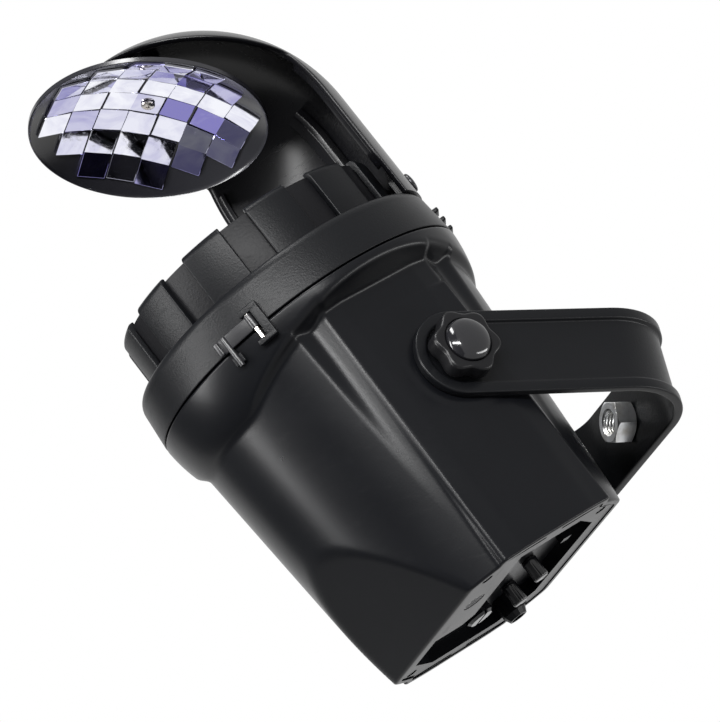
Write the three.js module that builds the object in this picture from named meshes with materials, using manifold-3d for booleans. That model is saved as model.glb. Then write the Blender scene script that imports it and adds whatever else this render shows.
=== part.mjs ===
// A disco light: a spot lamp in a moulded housing, with a turning mirror dish under a hood on its nose,
// hung from a yoke. Millimetres. +Z is up the yoke, and the origin is the clamp hole in the yoke's
// crossbar. The lamp itself is built in its own frame: x to the near side, y to the top, z along the
// beam, with z = 0 where the front ring meets the housing.

import * as THREE from 'three';
import { mergeVertices } from 'three/addons/utils/BufferGeometryUtils.js';
import Module from 'manifold-3d';

const wasm = await Module();
wasm.setup();

const degree = Math.PI / 180;
const quarterTurn = Math.PI / 2;

// Shared fits and facets
const gap = 0.3;
const overrun = 3;
const ringFacets = 32;
const innerFacets = 16;
const tubeFacets = 14;
const pinFacets = 8;
const arcSteps = 4;
const domeRings = 12;
const facetsPerStep = 8;

// Stack across the lamp, from its round joint in to the pads and out to the yoke's arms
const housingRadius = 75;
const padStep = 14.5;
const padFace = housingRadius - padStep;
const frictionWasherThickness = 0.5;
const frictionWasherGap = 0.2;
const yokeWeb = 2.2;
const yokeRibHeight = 1.8;
const yokeHalfSpan = padFace + 2 * frictionWasherGap + frictionWasherThickness + yokeWeb + yokeRibHeight;

// Yoke
const yokeReach = 109.5;
const yokeWidth = 38;
const yokeRibWidth = 5;
const yokeBendRadius = 36;
const clampHoleRadius = 5.4;
const nutAcrossFlats = 17;
const nutHeight = 9.2;
const nutBoreRadius = 5;

// Pose and pivot of the lamp in the yoke
const noseDown = 25.8 * degree;
const pivotBehindJoint = 52.8;
const pivotAboveAxis = 9.84;

// Housing
const housingLength = 134.2;
const shoulderDepth = 23.6;
const shoulderStep = 6.5;
const shoulderRadius = housingRadius - shoulderStep;
const shoulderFullness = 1.6;
const barrelDraft = 4 * degree;
const wall = 2.8;
const padProud = 0.395;
const flankPivot = padFace - padProud;
const flankDraft = 1.2 * degree;
const flankRear = flankPivot - (housingLength - pivotBehindJoint) * Math.tan(flankDraft);
const flankFlatHalf = 19.5;
const ridgeHalf = 30.6;
const ridgeBevelDrop = 1.4;
const ridgeRoundDrop = 1.2;
const ridgeRound = 1;
const flankFront = 7.5;
const recessWallStart = 11;
const recessWallAngle = 67.4 * degree;
const scoopStep = 2.5;
const scoopDistance = housingRadius - scoopStep;
const scoopTilt = 20.5 * degree;
const scoopTurn = 29.6 * degree;
const fluteRadius = 7;
const fluteOutside = 1.9;
const fluteBelow = 6.4;
const fluteAcross = flankPivot + fluteOutside;
const fluteDown = ridgeHalf + fluteBelow;
const fluteLength = 70;
const facetSlope = 23.2 * degree;
const bellyFacetShare = 0.5613;
const bellyFacetRear = housingRadius * bellyFacetShare;
const roofFacetShare = 0.6107;
const roofFacetRear = housingRadius * roofFacetShare;
const facetLength = 75;
const padHalfWidth = 22;
const padFront = 22;
const spigotReach = 4;
const spigotWall = 2.5;
const spigotBand = 3.5;

// Pivot hardware
const studRadius = 3.9;
const studDepth = 20.5;
const studInner = padFace - studDepth;
const insertRadius = 8;
const insertDepth = 16.5;
const insertInner = padFace - insertDepth;
const insertBoreRadius = 4.3;
const insertBossRadius = 11;
const frictionWasherRadius = 17.5;
const knobRadius = 13.7;
const knobLobeHeight = 1.1;
const knobLobes = 6;
const knobHubRadius = 9.5;
const knobHubHeight = 2.4;
const knobHeight = 8.6;
const knobBevel = 1.6;
const knobCapRadius = 9.6;
const knobCapHeight = 4.4;
const knobCapSocket = 1;
const knobBoreDepth = 8;

// Front ring
const ringLength = 20;
const ringShoulderStep = 1.3;
const ringShoulderRadius = housingRadius - ringShoulderStep;
const ringShoulder = 15.75;
const ringFrontStep = 3.5;
const ringFrontRadius = housingRadius - ringFrontStep;
const ringWall = 3;
const ringFlange = 16.5;
const ringBore = ringFrontRadius - ringFlange;
const hoodLugThickness = 4.4;
const hoodLugLength = 13;
const hoodLugHalfAngle = 8 * degree;
const hoodLugAngle = 60 * degree;
const gripCount = 3;
const gripPitch = 4.9;
const gripWidth = 2;
const gripProud = 1.8;
const gripFirst = 3.4;
const gripAngle = 62 * degree;
const gripLength = 9;

// Catch across the ring's joint
const catchAngle = -44.5 * degree;
const catchBlockAngle = -43.4 * degree;
const catchBlockSpan = 6.6 * degree;
const catchBlockRear = -7.7;
const catchBlockFront = 9;
const catchBlockProud = 3.4;
const catchForkRear = -5.4;
const catchForkFront = 6.2;
const catchPinRadius = 1.1;
const catchPinLift = 2;
const catchPinBite = 1.8;
const catchLeverRear = -0.3;
const catchLeverFront = 5.9;
const catchLeverThickness = 1.5;
const catchLeverEnd = -58.6 * degree;
const catchTabAngle = 1.6 * degree;
const catchTabProud = 1.3;
const catchHubRadius = 1.8;
const catchSaddleAngle = -55 * degree;
const catchSaddleSpan = 4 * degree;
const catchSaddleRear = -7.4;
const catchSaddleFront = -3.4;
const catchLatchRadius = 1.2;
const catchLatchRear = -8.4;

// Vent crown and the baffle inside it
const crownStep = 7.5;
const crownRadius = ringFrontRadius - crownStep;
const crownWall = 2.5;
const crownLength = 26;
const crownBlocks = 12;
const crownBlockAngle = 18 * degree;
const crownRound = 3;
const crownLip = 1.5;
const crownSill = 1.5;
const crownSillWidth = 4;
const crownSillInner = crownRadius - crownSillWidth;
const baffleInset = 0.7;
const bafflePanelRadius = crownSillInner - baffleInset;
const bafflePanelWall = 2.3;
const bafflePanelAngle = 16.4 * degree;
const baffleHeight = 22;
const baffleThickness = 2;

// Lens
const tubeRadius = 24;
const tubeRear = 12;
const tubeFront = 45.5;
const tubeFlangeRadius = 29;
const tubeFlange = 2;
const tubeBore = 21.4;
const lensRadius = 21;
const lensEdge = 2;
const lensBulge = 6;
const lensSeat = 34;
const lensShoulderBore = 19;
const filterThickness = 1.1;
const filterSeat = 19;
const filterShoulderBore = 16.5;
const retainerLength = 2.2;

// Hood and dish, about the centre of the hood's dome
const hoodStep = 1;
const hoodRadius = housingRadius - hoodStep;
const hoodWall = 3;
const domeCentre = 75;
const hoodEdgeHeight = 43.5;
const dishTilt = 36.4 * degree;
const hoodRibDepth = 2.4;
const hoodRibWidth = 2;
const hoodRibEnd = 96;
const hoodScrewAt = 29.5;
const hoodScrewHeadRadius = 4.5;
const hoodScrewHeadHeight = 2;
const hoodScrewShank = 1.9;
const ductWidth = 10;
const ductHeight = 5;
const ductEnd = 93;
const ductSteps = 10;
const dishShift = 24;
const motorRadius = 12;
const motorRoom = 0.9;
const motorRear = Math.sqrt((hoodRadius - hoodWall) ** 2 - (dishShift + motorRadius) ** 2) - motorRoom;
const motorLength = 7.1;
const motorFront = motorRear - motorLength;
const motorShaftRadius = 2;
const motorPostRadius = 3.4;
const motorPostOffset = 8;
const motorScrewHead = 2.8;
const motorScrewShank = 1.4;
const motorScrewDepth = 4;
const dishDepth = 16;
const dishWall = 1.8;
const dishSteps = 4;
const dishHubRadius = 6;
const dishHubLength = 1.2;
const dishHubGap = 0.4;
const dishFloor = motorFront - dishHubGap - dishHubLength - dishWall;
const dishRimDistance = dishFloor - dishDepth;
const hoodRimBelowFloor = 2.8;
const hoodRimDistance = dishFloor - hoodRimBelowFloor;
const dishRimRoom = 11.24;
const dishRimRadius = Math.sqrt((hoodRadius - hoodWall) ** 2 - dishRimDistance ** 2) - dishRimRoom;
const dishScrewRadius = 3;
const dishScrewHeight = 1.8;
const tilePitch = 13.2;
const tileThickness = 1.2;
const tileBed = 0.35;
const tileRowHalves = [1, 2, 3, 3, 3, 2, 1];

// Rear cover and what is on it
const coverThickness = 3;
const coverInset = 0.4;
const recessDepth = 6.2;
const recessSide = 12.4;
const recessHalfWidth = flankRear - recessSide;
const recessRoofWall = 11.8;
const recessTop = roofFacetRear - recessRoofWall;
const recessSideDrop = 15;
const recessSideHalf = recessTop - recessSideDrop;
const coverScrewRoom = 6.9;
const coverScrewAngle = 37 * degree;
const coverScrewReach = barrelRadius(-housingLength) - coverScrewRoom;
const coverScrewAcross = coverScrewReach * Math.cos(coverScrewAngle);
const coverScrewUp = coverScrewReach * Math.sin(coverScrewAngle);
const recessTopCorner = 12;
const recessTopHalf = coverScrewAcross - recessTopCorner;
const recessBellyWall = 7.1;
const recessBottom = bellyFacetRear - recessBellyWall;
const recessBottomCorner = 10;
const recessBottomHalf = coverScrewAcross - recessBottomCorner;
const glandFromCorner = 3;
const glandAcross = -recessTopHalf - glandFromCorner;
const fuseFromGland = 13;
const fuseAcross = glandAcross + fuseFromGland;
const plateauFromFuse = 10.8;
const plateauEdge = -fuseAcross - plateauFromFuse;
const plateauHeight = 20;
const plateauTop = recessBottom - plateauHeight;
const plateauCut = 5;
const recessWall = 2;
const slotInset = 5.2;
const slotAcross = flankRear - slotInset;
const slotWidth = 2.2;
const slotStart = 4.4;
const slotLength = 23;
const coverScrewRadius = 2.4;
const coverScrewHead = 1.2;
const coverScrewShank = 1.2;
const coverScrewLength = 9;
const coverBossRadius = 3.6;
const coverBossLength = 10;
const controlKnobRadius = 3.5;
const controlKnobLength = 9.9;
const controlKnobRound = 1.2;
const controlShaftRadius = 1.5;
const controlKnobDrop = 19.5;
const controlKnobHigh = recessTop - controlKnobDrop;
const speedFromGland = 17.7;
const speedKnobAcross = glandAcross + speedFromGland;
const controlPitch = 22.8;
const soundKnobAcross = speedKnobAcross + controlPitch;
const controlBodyRadius = 6;
const controlBodyLength = 6.5;
const switchInset = 24;
const switchAcross = recessHalfWidth - switchInset;
const switchDrop = 9;
const switchHigh = recessTop - switchDrop;
const switchLength = 7;
const switchWidth = 4.5;
const switchHeight = 4;
const switchTravel = 3;
const switchBodyDepth = 6;
const glandDrop = 13;
const glandHigh = recessTop - glandDrop;
const glandRadius = 5.6;
const glandHeight = 11;
const glandBore = 3.4;
const glandNutRadius = 8;
const glandNutLength = 4;
const fuseDrop = 17.5;
const fuseHigh = controlKnobHigh - fuseDrop;
const fuseRadius = 6.5;
const fuseHeight = 5.6;
const fuseBodyRadius = 5;
const fuseBodyLength = 24;
const fuseSlotWidth = 1.4;
const fuseSlotDepth = 1.2;
const microphoneAcross = 17.8;
const microphoneRise = 8;
const microphoneDown = recessBottom - microphoneRise;
const microphoneRadius = 5;
const microphoneLength = 6;
const grilleThickness = 0.8;
const grilleHoleRadius = 0.6;
const grilleHolePitch = 2.3;

// Lamp, its carrier and the electrics, inside the housing
const chassisAt = 61;
const chassisThickness = 1.2;
const chassisHole = 9;
const chassisVentRadius = 4;
const chassisVentCircle = 38;
const chassisVents = 6;
const reflectorRadius = 26;
const reflectorDepth = 30;
const reflectorWall = 1.6;
const reflectorNeck = 8.4;
const reflectorNeckBore = 6.6;
const reflectorSteps = 4;
const lampRadius = 5;
const lampLength = 15;
const lampBase = 4;
const lampPinRadius = 0.6;
const lampPinHalfPitch = 3.2;
const lampPinLength = 7;
const socketWidth = 18;
const socketHeight = 12;
const socketDepth = 14;
const coreWidth = 50;
const coreHeight = 22;
const coreDepth = 34;
const coreRoom = 41;
const coreDown = housingRadius - coreRoom;
const coilWidth = 30;
const coilHeight = 30;
const coilDepth = 20;
const boardRoom = 13;
const boardWidth = housingRadius - boardRoom;
const boardHeight = 32;
const boardThickness = 1.6;
const boardAcross = -5;
const boardHigh = 14;
const capacitorRadius = 5;
const capacitorHeight = 14;
const capacitorPitch = 13;
const capacitorCount = 2;

// Makes a closed solid of a three.js geometry, with its faces turned outward.
function solid(geometry, matrix) {
  const bare = new THREE.BufferGeometry();
  bare.setAttribute('position', geometry.attributes.position.clone());
  if (geometry.index) {
    bare.setIndex(geometry.index.clone());
  }
  if (matrix) {
    bare.applyMatrix4(matrix);
  }
  const merged = mergeVertices(bare);
  const places = merged.attributes.position.array;
  const corner = [0, 1, 2].map(() => new THREE.Vector3());
  const kept = [];
  let volume = 0;
  for (let start = 0; start < merged.index.count; start += 3) {
    const ids = [0, 1, 2].map((k) => merged.index.getX(start + k));
    if (ids[0] === ids[1] || ids[1] === ids[2] || ids[2] === ids[0]) {
      continue;
    }
    kept.push(...ids);
    ids.forEach((id, k) => corner[k].fromArray(places, 3 * id));
    volume += corner[0].dot(corner[1].clone().cross(corner[2]));
  }
  if (volume < 0) {
    for (let start = 0; start < kept.length; start += 3) {
      [kept[start], kept[start + 1]] = [kept[start + 1], kept[start]];
    }
  }
  const triVerts = new Uint32Array(kept);
  return new wasm.Manifold(new wasm.Mesh({ numProp: 3, vertProperties: new Float32Array(places),
    triVerts }));
}

function join(solids) {
  return solids.reduce((sum, next) => sum.add(next));
}

function finish(color, roughness, metalness) {
  return new THREE.MeshStandardMaterial({ color, roughness, metalness });
}

function piece(parent, name, shape, material) {
  const { vertProperties, triVerts } = shape.getMesh();
  const geometry = new THREE.BufferGeometry();
  geometry.setAttribute('position', new THREE.BufferAttribute(new Float32Array(vertProperties), 3));
  geometry.setIndex(new THREE.BufferAttribute(new Uint32Array(triVerts), 1));
  geometry.computeVertexNormals();
  const mesh = new THREE.Mesh(geometry, material);
  mesh.name = name;
  parent.add(mesh);
  return mesh;
}

function shift(x, y, z) {
  return new THREE.Matrix4().makeTranslation(x, y, z);
}

function turn(x, y, z) {
  return new THREE.Matrix4().makeRotationFromEuler(new THREE.Euler(x, y, z));
}

// A revolved solid about z, from [radius, z] pairs that start and end on the axis or close a ring.
function turned(pairs, facets, matrix) {
  const profile = pairs.map(([radius, z]) => new THREE.Vector2(radius, z));
  const onAxis = pairs[0][0] === 0;
  if (!onAxis) {
    profile.push(profile[0].clone());
  }
  const upright = turn(quarterTurn, 0, 0);
  const placed = matrix ? matrix.clone().multiply(upright) : upright;
  return solid(new THREE.LatheGeometry(profile, facets), placed);
}

// A cylinder along z.
function rod(radius, from, to, facets, matrix) {
  return turned([[0, from], [radius, from], [radius, to], [0, to]], facets, matrix);
}

function tube(outer, inner, from, to, facets, matrix) {
  return turned([[inner, from], [outer, from], [outer, to], [inner, to]], facets, matrix);
}

function polygon(pairs) {
  return new THREE.Shape(pairs.map(([x, y]) => new THREE.Vector2(x, y)));
}

// A prism of an xy shape along z.
function prism(shape, from, to, matrix) {
  const geometry = new THREE.ExtrudeGeometry(shape,
    { depth: to - from, bevelEnabled: false, curveSegments: arcSteps });
  geometry.translate(0, 0, from);
  return solid(geometry, matrix);
}

// A prism along y of a shape drawn in x and z.
function beamAlongY(shape, half) {
  return prism(shape, -half, half, turn(quarterTurn, 0, 0));
}

// A prism along x of a shape drawn in z and y.
function beamAlongX(shape, half) {
  return prism(shape, -half, half, turn(0, -quarterTurn, 0));
}

function block(width, height, depth, x, y, z) {
  return solid(new THREE.BoxGeometry(width, height, depth), shift(x, y, z));
}

// A wedge of the circle about z, wide enough to cut out to the given radius.
function sector(centre, width, radius, from, to) {
  const reach = radius / Math.cos(width / 2);
  const start = [reach * Math.cos(centre - width / 2), reach * Math.sin(centre - width / 2)];
  const end = [reach * Math.cos(centre + width / 2), reach * Math.sin(centre + width / 2)];
  return prism(polygon([[0, 0], start, end]), from, to);
}

// Turns z outward to the polar angle given, about the lamp's axis, at the place z.
function radial(angle, z) {
  return turn(0, 0, angle).multiply(shift(0, 0, z)).multiply(turn(0, quarterTurn, 0));
}

// The outline of the yoke's strap between two depths below its outermost face.
function strapOutline(outerDepth, innerDepth, foot) {
  const outline = new THREE.Shape();
  const outer = yokeHalfSpan - outerDepth;
  const inner = yokeHalfSpan - innerDepth;
  const bendX = yokeHalfSpan - yokeBendRadius;
  const bendZ = -yokeBendRadius;
  const outerBend = yokeBendRadius - outerDepth;
  const innerBend = yokeBendRadius - innerDepth;
  outline.moveTo(outer, foot);
  outline.lineTo(outer, bendZ);
  outline.absarc(bendX, bendZ, outerBend, 0, quarterTurn, false);
  outline.absarc(-bendX, bendZ, outerBend, quarterTurn, Math.PI, false);
  outline.lineTo(-outer, foot);
  outline.lineTo(-inner, foot);
  outline.lineTo(-inner, bendZ);
  outline.absarc(-bendX, bendZ, innerBend, Math.PI, quarterTurn, true);
  outline.absarc(bendX, bendZ, innerBend, quarterTurn, 0, true);
  outline.lineTo(inner, foot);
  return outline;
}

// The strap seen from the side: straight edges and a round foot about the pivot, cut along x.
function strapSide(radius) {
  const side = new THREE.Shape();
  side.moveTo(overrun, radius);
  side.lineTo(-yokeReach, radius);
  side.absarc(-yokeReach, 0, radius, quarterTurn, 3 * quarterTurn, false);
  side.lineTo(overrun, -radius);
  return beamAlongX(side, yokeHalfSpan + overrun);
}

function yokeStrap() {
  const foot = -yokeReach - yokeWidth;
  const strap = beamAlongY(strapOutline(0, yokeWeb + yokeRibHeight, foot), yokeWidth / 2);
  const hollow = beamAlongY(strapOutline(-overrun, yokeRibHeight, foot), yokeWidth);
  const body = strap.intersect(strapSide(yokeWidth / 2));
  const channel = hollow.intersect(strapSide(yokeWidth / 2 - yokeRibWidth));
  const clampHole = rod(clampHoleRadius, -yokeWeb - yokeRibHeight - overrun, overrun, tubeFacets);
  const pivotHole = rod(studRadius + 2 * gap, -yokeHalfSpan - overrun, yokeHalfSpan + overrun, tubeFacets,
    shift(0, 0, -yokeReach).multiply(turn(0, quarterTurn, 0)));
  return body.subtract(channel).subtract(clampHole).subtract(pivotHole);
}

function clampNut() {
  const top = -yokeWeb - yokeRibHeight - gap;
  const bottom = top - nutHeight;
  const corner = nutAcrossFlats / Math.sqrt(3);
  const flat = nutAcrossFlats / 2;
  const chamfer = corner - flat;
  const hexagon = solid(new THREE.CylinderGeometry(corner, corner, nutHeight, 6),
    shift(0, 0, (top + bottom) / 2).multiply(turn(quarterTurn, 0, 0)));
  const turnedNut = turned([[0, bottom], [flat, bottom], [corner, bottom + chamfer],
    [corner, top - chamfer], [flat, top], [0, top]], tubeFacets);
  const bore = rod(nutBoreRadius, bottom - overrun, top + overrun, tubeFacets);
  const mouth = turned([[0, bottom - overrun], [nutBoreRadius + overrun + chamfer / 2, bottom - overrun],
    [0, bottom + nutBoreRadius + chamfer / 2]], tubeFacets);
  return hexagon.intersect(turnedNut).subtract(bore).subtract(mouth);
}

function barrelRadius(z) {
  return shoulderRadius + (z + shoulderDepth) * Math.tan(barrelDraft);
}

function flankAt(z) {
  return flankRear + (z + housingLength) * Math.tan(flankDraft);
}

// Narrows a prism's x with its z, as the moulding draft of the flanks does.
function drafted(shape, from, to, matrix) {
  const geometry = new THREE.ExtrudeGeometry(shape, { depth: to - from, bevelEnabled: false });
  geometry.translate(0, 0, from);
  const places = geometry.attributes.position;
  for (let k = 0; k < places.count; k += 1) {
    places.setX(k, places.getX(k) * flankAt(places.getZ(k)) / flankRear);
  }
  return solid(geometry, matrix);
}

// The housing's bevelled flank, from the top ridge to the bottom one.
function flankPoints(inset) {
  const flat = flankRear - inset;
  const ridge = ridgeHalf - inset;
  return [[flat, flankFlatHalf], [flat - ridgeBevelDrop, ridge - ridgeRound],
    [flat - ridgeBevelDrop - ridgeRoundDrop, ridge]];
}

function sideBox(inset, from, to) {
  const near = flankPoints(inset);
  const below = near.map(([x, y]) => [x, -y]).reverse();
  const right = below.concat(near);
  const left = right.map(([x, y]) => [-x, -y]);
  return drafted(polygon(right.concat(left)), from, to);
}

// What is cut off the barrel outside the flank, between its ridges.
function flankCut(inset, side, from, to) {
  const near = flankPoints(inset);
  const below = near.map(([x, y]) => [x, -y]).reverse();
  const outside = housingRadius + overrun;
  const edge = ridgeHalf + inset;
  const tip = near[near.length - 1][0];
  const ring = below.concat(near, [[tip, edge], [outside, edge], [outside, -edge], [tip, -edge]]);
  return drafted(polygon(ring.map(([x, y]) => [side * x, y])), from, to);
}

// The cup's round shoulder, as a superellipse from the barrel out to the joint.
function cupProfile(inset, front, steps) {
  const points = [[0, -shoulderDepth]];
  for (let step = 0; step <= steps; step += 1) {
    const share = 1 - step / steps;
    const rise = (1 - share ** shoulderFullness) ** (1 / shoulderFullness);
    points.push([shoulderRadius - inset + (housingRadius - shoulderRadius) * rise, -shoulderDepth * share]);
  }
  points.push([housingRadius - inset, front], [0, front]);
  return points;
}

// The sloped wall that ends the flank's recess in the cup.
function recessCut(inset, side) {
  const slope = Math.tan(recessWallAngle);
  const low = flankRear / 2;
  const high = housingRadius + overrun;
  const start = -recessWallStart + inset / Math.sin(recessWallAngle);
  const lowZ = start + (low - flankRear) / slope;
  const highZ = start + (high - flankRear) / slope;
  const shape = polygon([[side * low, lowZ], [side * high, highZ], [side * high, -housingLength],
    [side * low, -housingLength]]);
  return beamAlongY(shape, housingRadius + overrun);
}

// A flat cut across the cup's shoulder, facing back and outward over each flute.
function scoopCut(inset, side, rise) {
  const reach = 2 * housingRadius;
  const outward = new THREE.Vector3(side * Math.cos(scoopTilt) * Math.cos(scoopTurn),
    rise * Math.cos(scoopTilt) * Math.sin(scoopTurn), -Math.sin(scoopTilt));
  const aim = new THREE.Quaternion().setFromUnitVectors(new THREE.Vector3(0, 0, 1), outward);
  const place = outward.clone().multiplyScalar(scoopDistance - inset + reach / 2);
  const matrix = new THREE.Matrix4().compose(place, aim, new THREE.Vector3(1, 1, 1));
  return solid(new THREE.BoxGeometry(reach, reach, reach), matrix);
}

// The flat facet that slopes in to the rear, under the belly or on the roof.
function facetCut(inset, rearHeight, rise) {
  const run = housingLength + overrun;
  const slope = Math.tan(facetSlope);
  const rearEdge = rearHeight - overrun * slope - inset / Math.cos(facetSlope);
  const frontEdge = rearEdge + (facetLength + overrun) * slope;
  const outside = 2 * housingRadius;
  const frontZ = -run + facetLength + overrun;
  const points = [[-run, rise * rearEdge], [frontZ, rise * frontEdge], [frontZ, rise * outside],
    [-run, rise * outside]];
  return beamAlongX(polygon(points), housingRadius);
}

// The housing's outer form, or the same form set in by a wall.
function sculptedForm(inset, rear, front, facets) {
  const sides = [1, -1];
  let cup = turned(cupProfile(inset, front, Math.round(facets / facetsPerStep)), facets);
  let barrel = turned([[0, rear], [barrelRadius(rear) - inset, rear],
    [barrelRadius(front) - inset, front], [0, front]], facets);
  for (const side of sides) {
    cup = cup.subtract(recessCut(inset, side));
    for (const rise of sides) {
      cup = cup.subtract(scoopCut(inset, side, rise));
    }
    barrel = barrel.subtract(flankCut(inset, side, rear - overrun, 0));
  }
  let form = cup.add(barrel).add(sideBox(inset, rear, -flankFront - inset));
  for (const side of sides) {
    for (const rise of sides) {
      const flute = rod(fluteRadius + inset, -fluteLength - recessWallStart, 0, facets / 2,
        shift(side * fluteAcross, rise * fluteDown, 0));
      form = form.subtract(flute.intersect(recessCut(inset, side)));
    }
  }
  return form.subtract(facetCut(inset, bellyFacetRear, -1)).subtract(facetCut(inset, roofFacetRear, 1));
}

// The raised pad that the yoke's arm turns against.
function pivotPad(side) {
  const pad = new THREE.Shape();
  pad.moveTo(-padFront, pivotAboveAxis - padHalfWidth);
  pad.lineTo(-padFront, pivotAboveAxis + padHalfWidth);
  pad.lineTo(-pivotBehindJoint, pivotAboveAxis + padHalfWidth);
  pad.absarc(-pivotBehindJoint, pivotAboveAxis, padHalfWidth, quarterTurn, 3 * quarterTurn, false);
  const edge = ridgeHalf - ridgeRound;
  const across = shift(side * padFace, 0, 0).multiply(turn(0, -quarterTurn, 0));
  const stack = prism(pad, 0, side * wall > 0 ? wall : -wall, across);
  return stack.intersect(block(4 * padFace, 2 * edge, 2 * housingLength, 0, 0, 0));
}

function pivotFrame(side) {
  return shift(0, pivotAboveAxis, -pivotBehindJoint).multiply(turn(0, side * quarterTurn, 0));
}

function rearHousing() {
  const rear = -housingLength;
  let form = sculptedForm(0, rear, -gap, ringFacets);
  form = form.add(pivotPad(1)).add(pivotPad(-1));
  form = form.subtract(sculptedForm(wall, rear - overrun, overrun, innerFacets));
  const spigotRadius = ringShoulderRadius - ringWall - gap;
  form = form.add(tube(spigotRadius, spigotRadius - spigotWall, -spigotBand, spigotReach, ringFacets));
  form = form.add(tube(housingRadius - wall / 2, spigotRadius - spigotWall, -spigotBand, -gap, ringFacets));
  for (const side of [1, -1]) {
    form = form.add(rod(insertBossRadius, insertInner, padFace - wall / 2, tubeFacets, pivotFrame(side)));
    form = form.subtract(rod(insertRadius + gap, insertInner - overrun, padFace - wall, tubeFacets,
      pivotFrame(side)));
    form = form.subtract(rod(studRadius + 2 * gap, insertInner, padFace + overrun, tubeFacets,
      pivotFrame(side)));
  }
  const skin = sculptedForm(wall / 2, rear, 0, innerFacets);
  for (const [x, y] of coverScrewPlaces()) {
    const from = rear + coverInset + coverThickness + gap;
    const web = block(housingRadius, coverBossRadius, coverBossLength, housingRadius / 2, 0,
      from + coverBossLength / 2)
      .transform(shift(x, y, 0).multiply(turn(0, 0, Math.atan2(y, x))).elements);
    const boss = rod(coverBossRadius, from, from + coverBossLength, pinFacets, shift(x, y, 0));
    form = form.add(boss.add(web).intersect(skin));
    form = form.subtract(rod(coverScrewShank, from - overrun, from + coverBossLength + overrun, pinFacets,
      shift(x, y, 0)));
  }
  return form;
}

function pivotInsert() {
  return tube(insertRadius, insertBoreRadius, insertInner, padFace - wall - gap, tubeFacets);
}

function frictionWasher() {
  const inner = yokeHalfSpan - yokeWeb - yokeRibHeight;
  const middle = (inner + padFace) / 2;
  return tube(frictionWasherRadius, studRadius + 2 * gap, middle - frictionWasherThickness / 2,
    middle + frictionWasherThickness / 2, tubeFacets);
}

// Heights on a clamp knob, outward from the lamp's middle.
const knobFoot = yokeHalfSpan - yokeRibHeight + gap;
const knobSkirt = knobFoot + knobHubHeight;
const knobTop = knobSkirt + knobHeight;

function knobStar() {
  const outline = new THREE.Shape();
  const steps = 6 * knobLobes;
  for (let step = 0; step < steps; step += 1) {
    const angle = 2 * Math.PI * step / steps;
    const radius = knobRadius - knobBevel + knobLobeHeight * Math.cos(knobLobes * angle);
    outline[step === 0 ? 'moveTo' : 'lineTo'](radius * Math.cos(angle), radius * Math.sin(angle));
  }
  const depth = knobHeight - 2 * knobBevel;
  const star = new THREE.ExtrudeGeometry(outline,
    { depth, bevelThickness: knobBevel, bevelSize: knobBevel, bevelSegments: 1 });
  const body = solid(star, shift(0, 0, knobSkirt + knobBevel));
  const hub = rod(knobHubRadius, knobFoot, knobSkirt + knobBevel, tubeFacets);
  const socket = rod(knobCapRadius + gap, knobTop - knobCapSocket, knobTop + overrun, tubeFacets);
  const bore = rod(studRadius + gap, knobFoot - overrun, knobFoot + knobBoreDepth + gap, tubeFacets);
  return body.add(hub).subtract(socket).subtract(bore);
}

function knobCap() {
  const foot = knobTop - knobCapSocket + gap;
  const points = [[0, foot], [knobCapRadius, foot]];
  const steps = 4;
  for (let step = 0; step <= steps; step += 1) {
    const angle = quarterTurn * step / steps;
    points.push([knobCapRadius * Math.cos(angle), knobTop + knobCapHeight * Math.sin(angle)]);
  }
  points[points.length - 1][0] = 0;
  return turned(points, tubeFacets);
}

function clampStud() {
  return rod(studRadius, studInner, knobFoot + knobBoreDepth, tubeFacets);
}

function frontRing() {
  const points = [[ringBore, ringLength - ringWall], [ringShoulderRadius - ringWall, ringLength - ringWall],
    [ringShoulderRadius - ringWall, gap], [housingRadius, gap]];
  const steps = 3;
  for (let step = 0; step <= steps; step += 1) {
    const angle = quarterTurn * step / steps;
    points.push([ringFrontRadius + (ringShoulderRadius - ringFrontRadius) * Math.cos(angle),
      ringShoulder + (ringLength - ringShoulder) * Math.sin(angle)]);
  }
  points.push([ringBore, ringLength]);
  let ring = turned(points, ringFacets);
  const lugOuter = hoodRadius - hoodWall - gap;
  for (const angle of [hoodLugAngle, Math.PI - hoodLugAngle]) {
    const lug = tube(lugOuter, lugOuter - hoodLugThickness, ringLength - ringWall,
      ringLength + hoodLugLength, ringFacets)
      .intersect(sector(angle, 2 * hoodLugHalfAngle, housingRadius, 0, ringLength + hoodLugLength));
    const screwHole = rod(hoodScrewShank + gap, ringBore, housingRadius, pinFacets,
      radial(angle, hoodScrewAt));
    ring = ring.add(lug).subtract(screwHole);
  }
  for (let grip = 0; grip < gripCount; grip += 1) {
    const bar = block(gripProud + ringWall / 2, gripLength, gripWidth,
      housingRadius - ringWall / 4 + gripProud / 2, 0, 0);
    const place = turn(0, 0, gripAngle).multiply(shift(0, 0, gripFirst + grip * gripPitch));
    ring = ring.add(bar.transform(place.elements));
  }
  return ring;
}

// The catch is built round the lamp's axis, on the ring's outer face.
const catchFloor = housingRadius + gap;
const catchPinReach = catchFloor + catchPinLift;

function alongAxis(radius, from, to, reach, angle, facets) {
  return rod(radius, from, to, facets, shift(reach * Math.cos(angle), reach * Math.sin(angle), 0));
}

function rimBlock(inner, outer, from, to, angle, span) {
  return tube(outer, inner, from, to, ringFacets)
    .intersect(sector(angle, span, outer + overrun, from - overrun, to + overrun));
}

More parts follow.
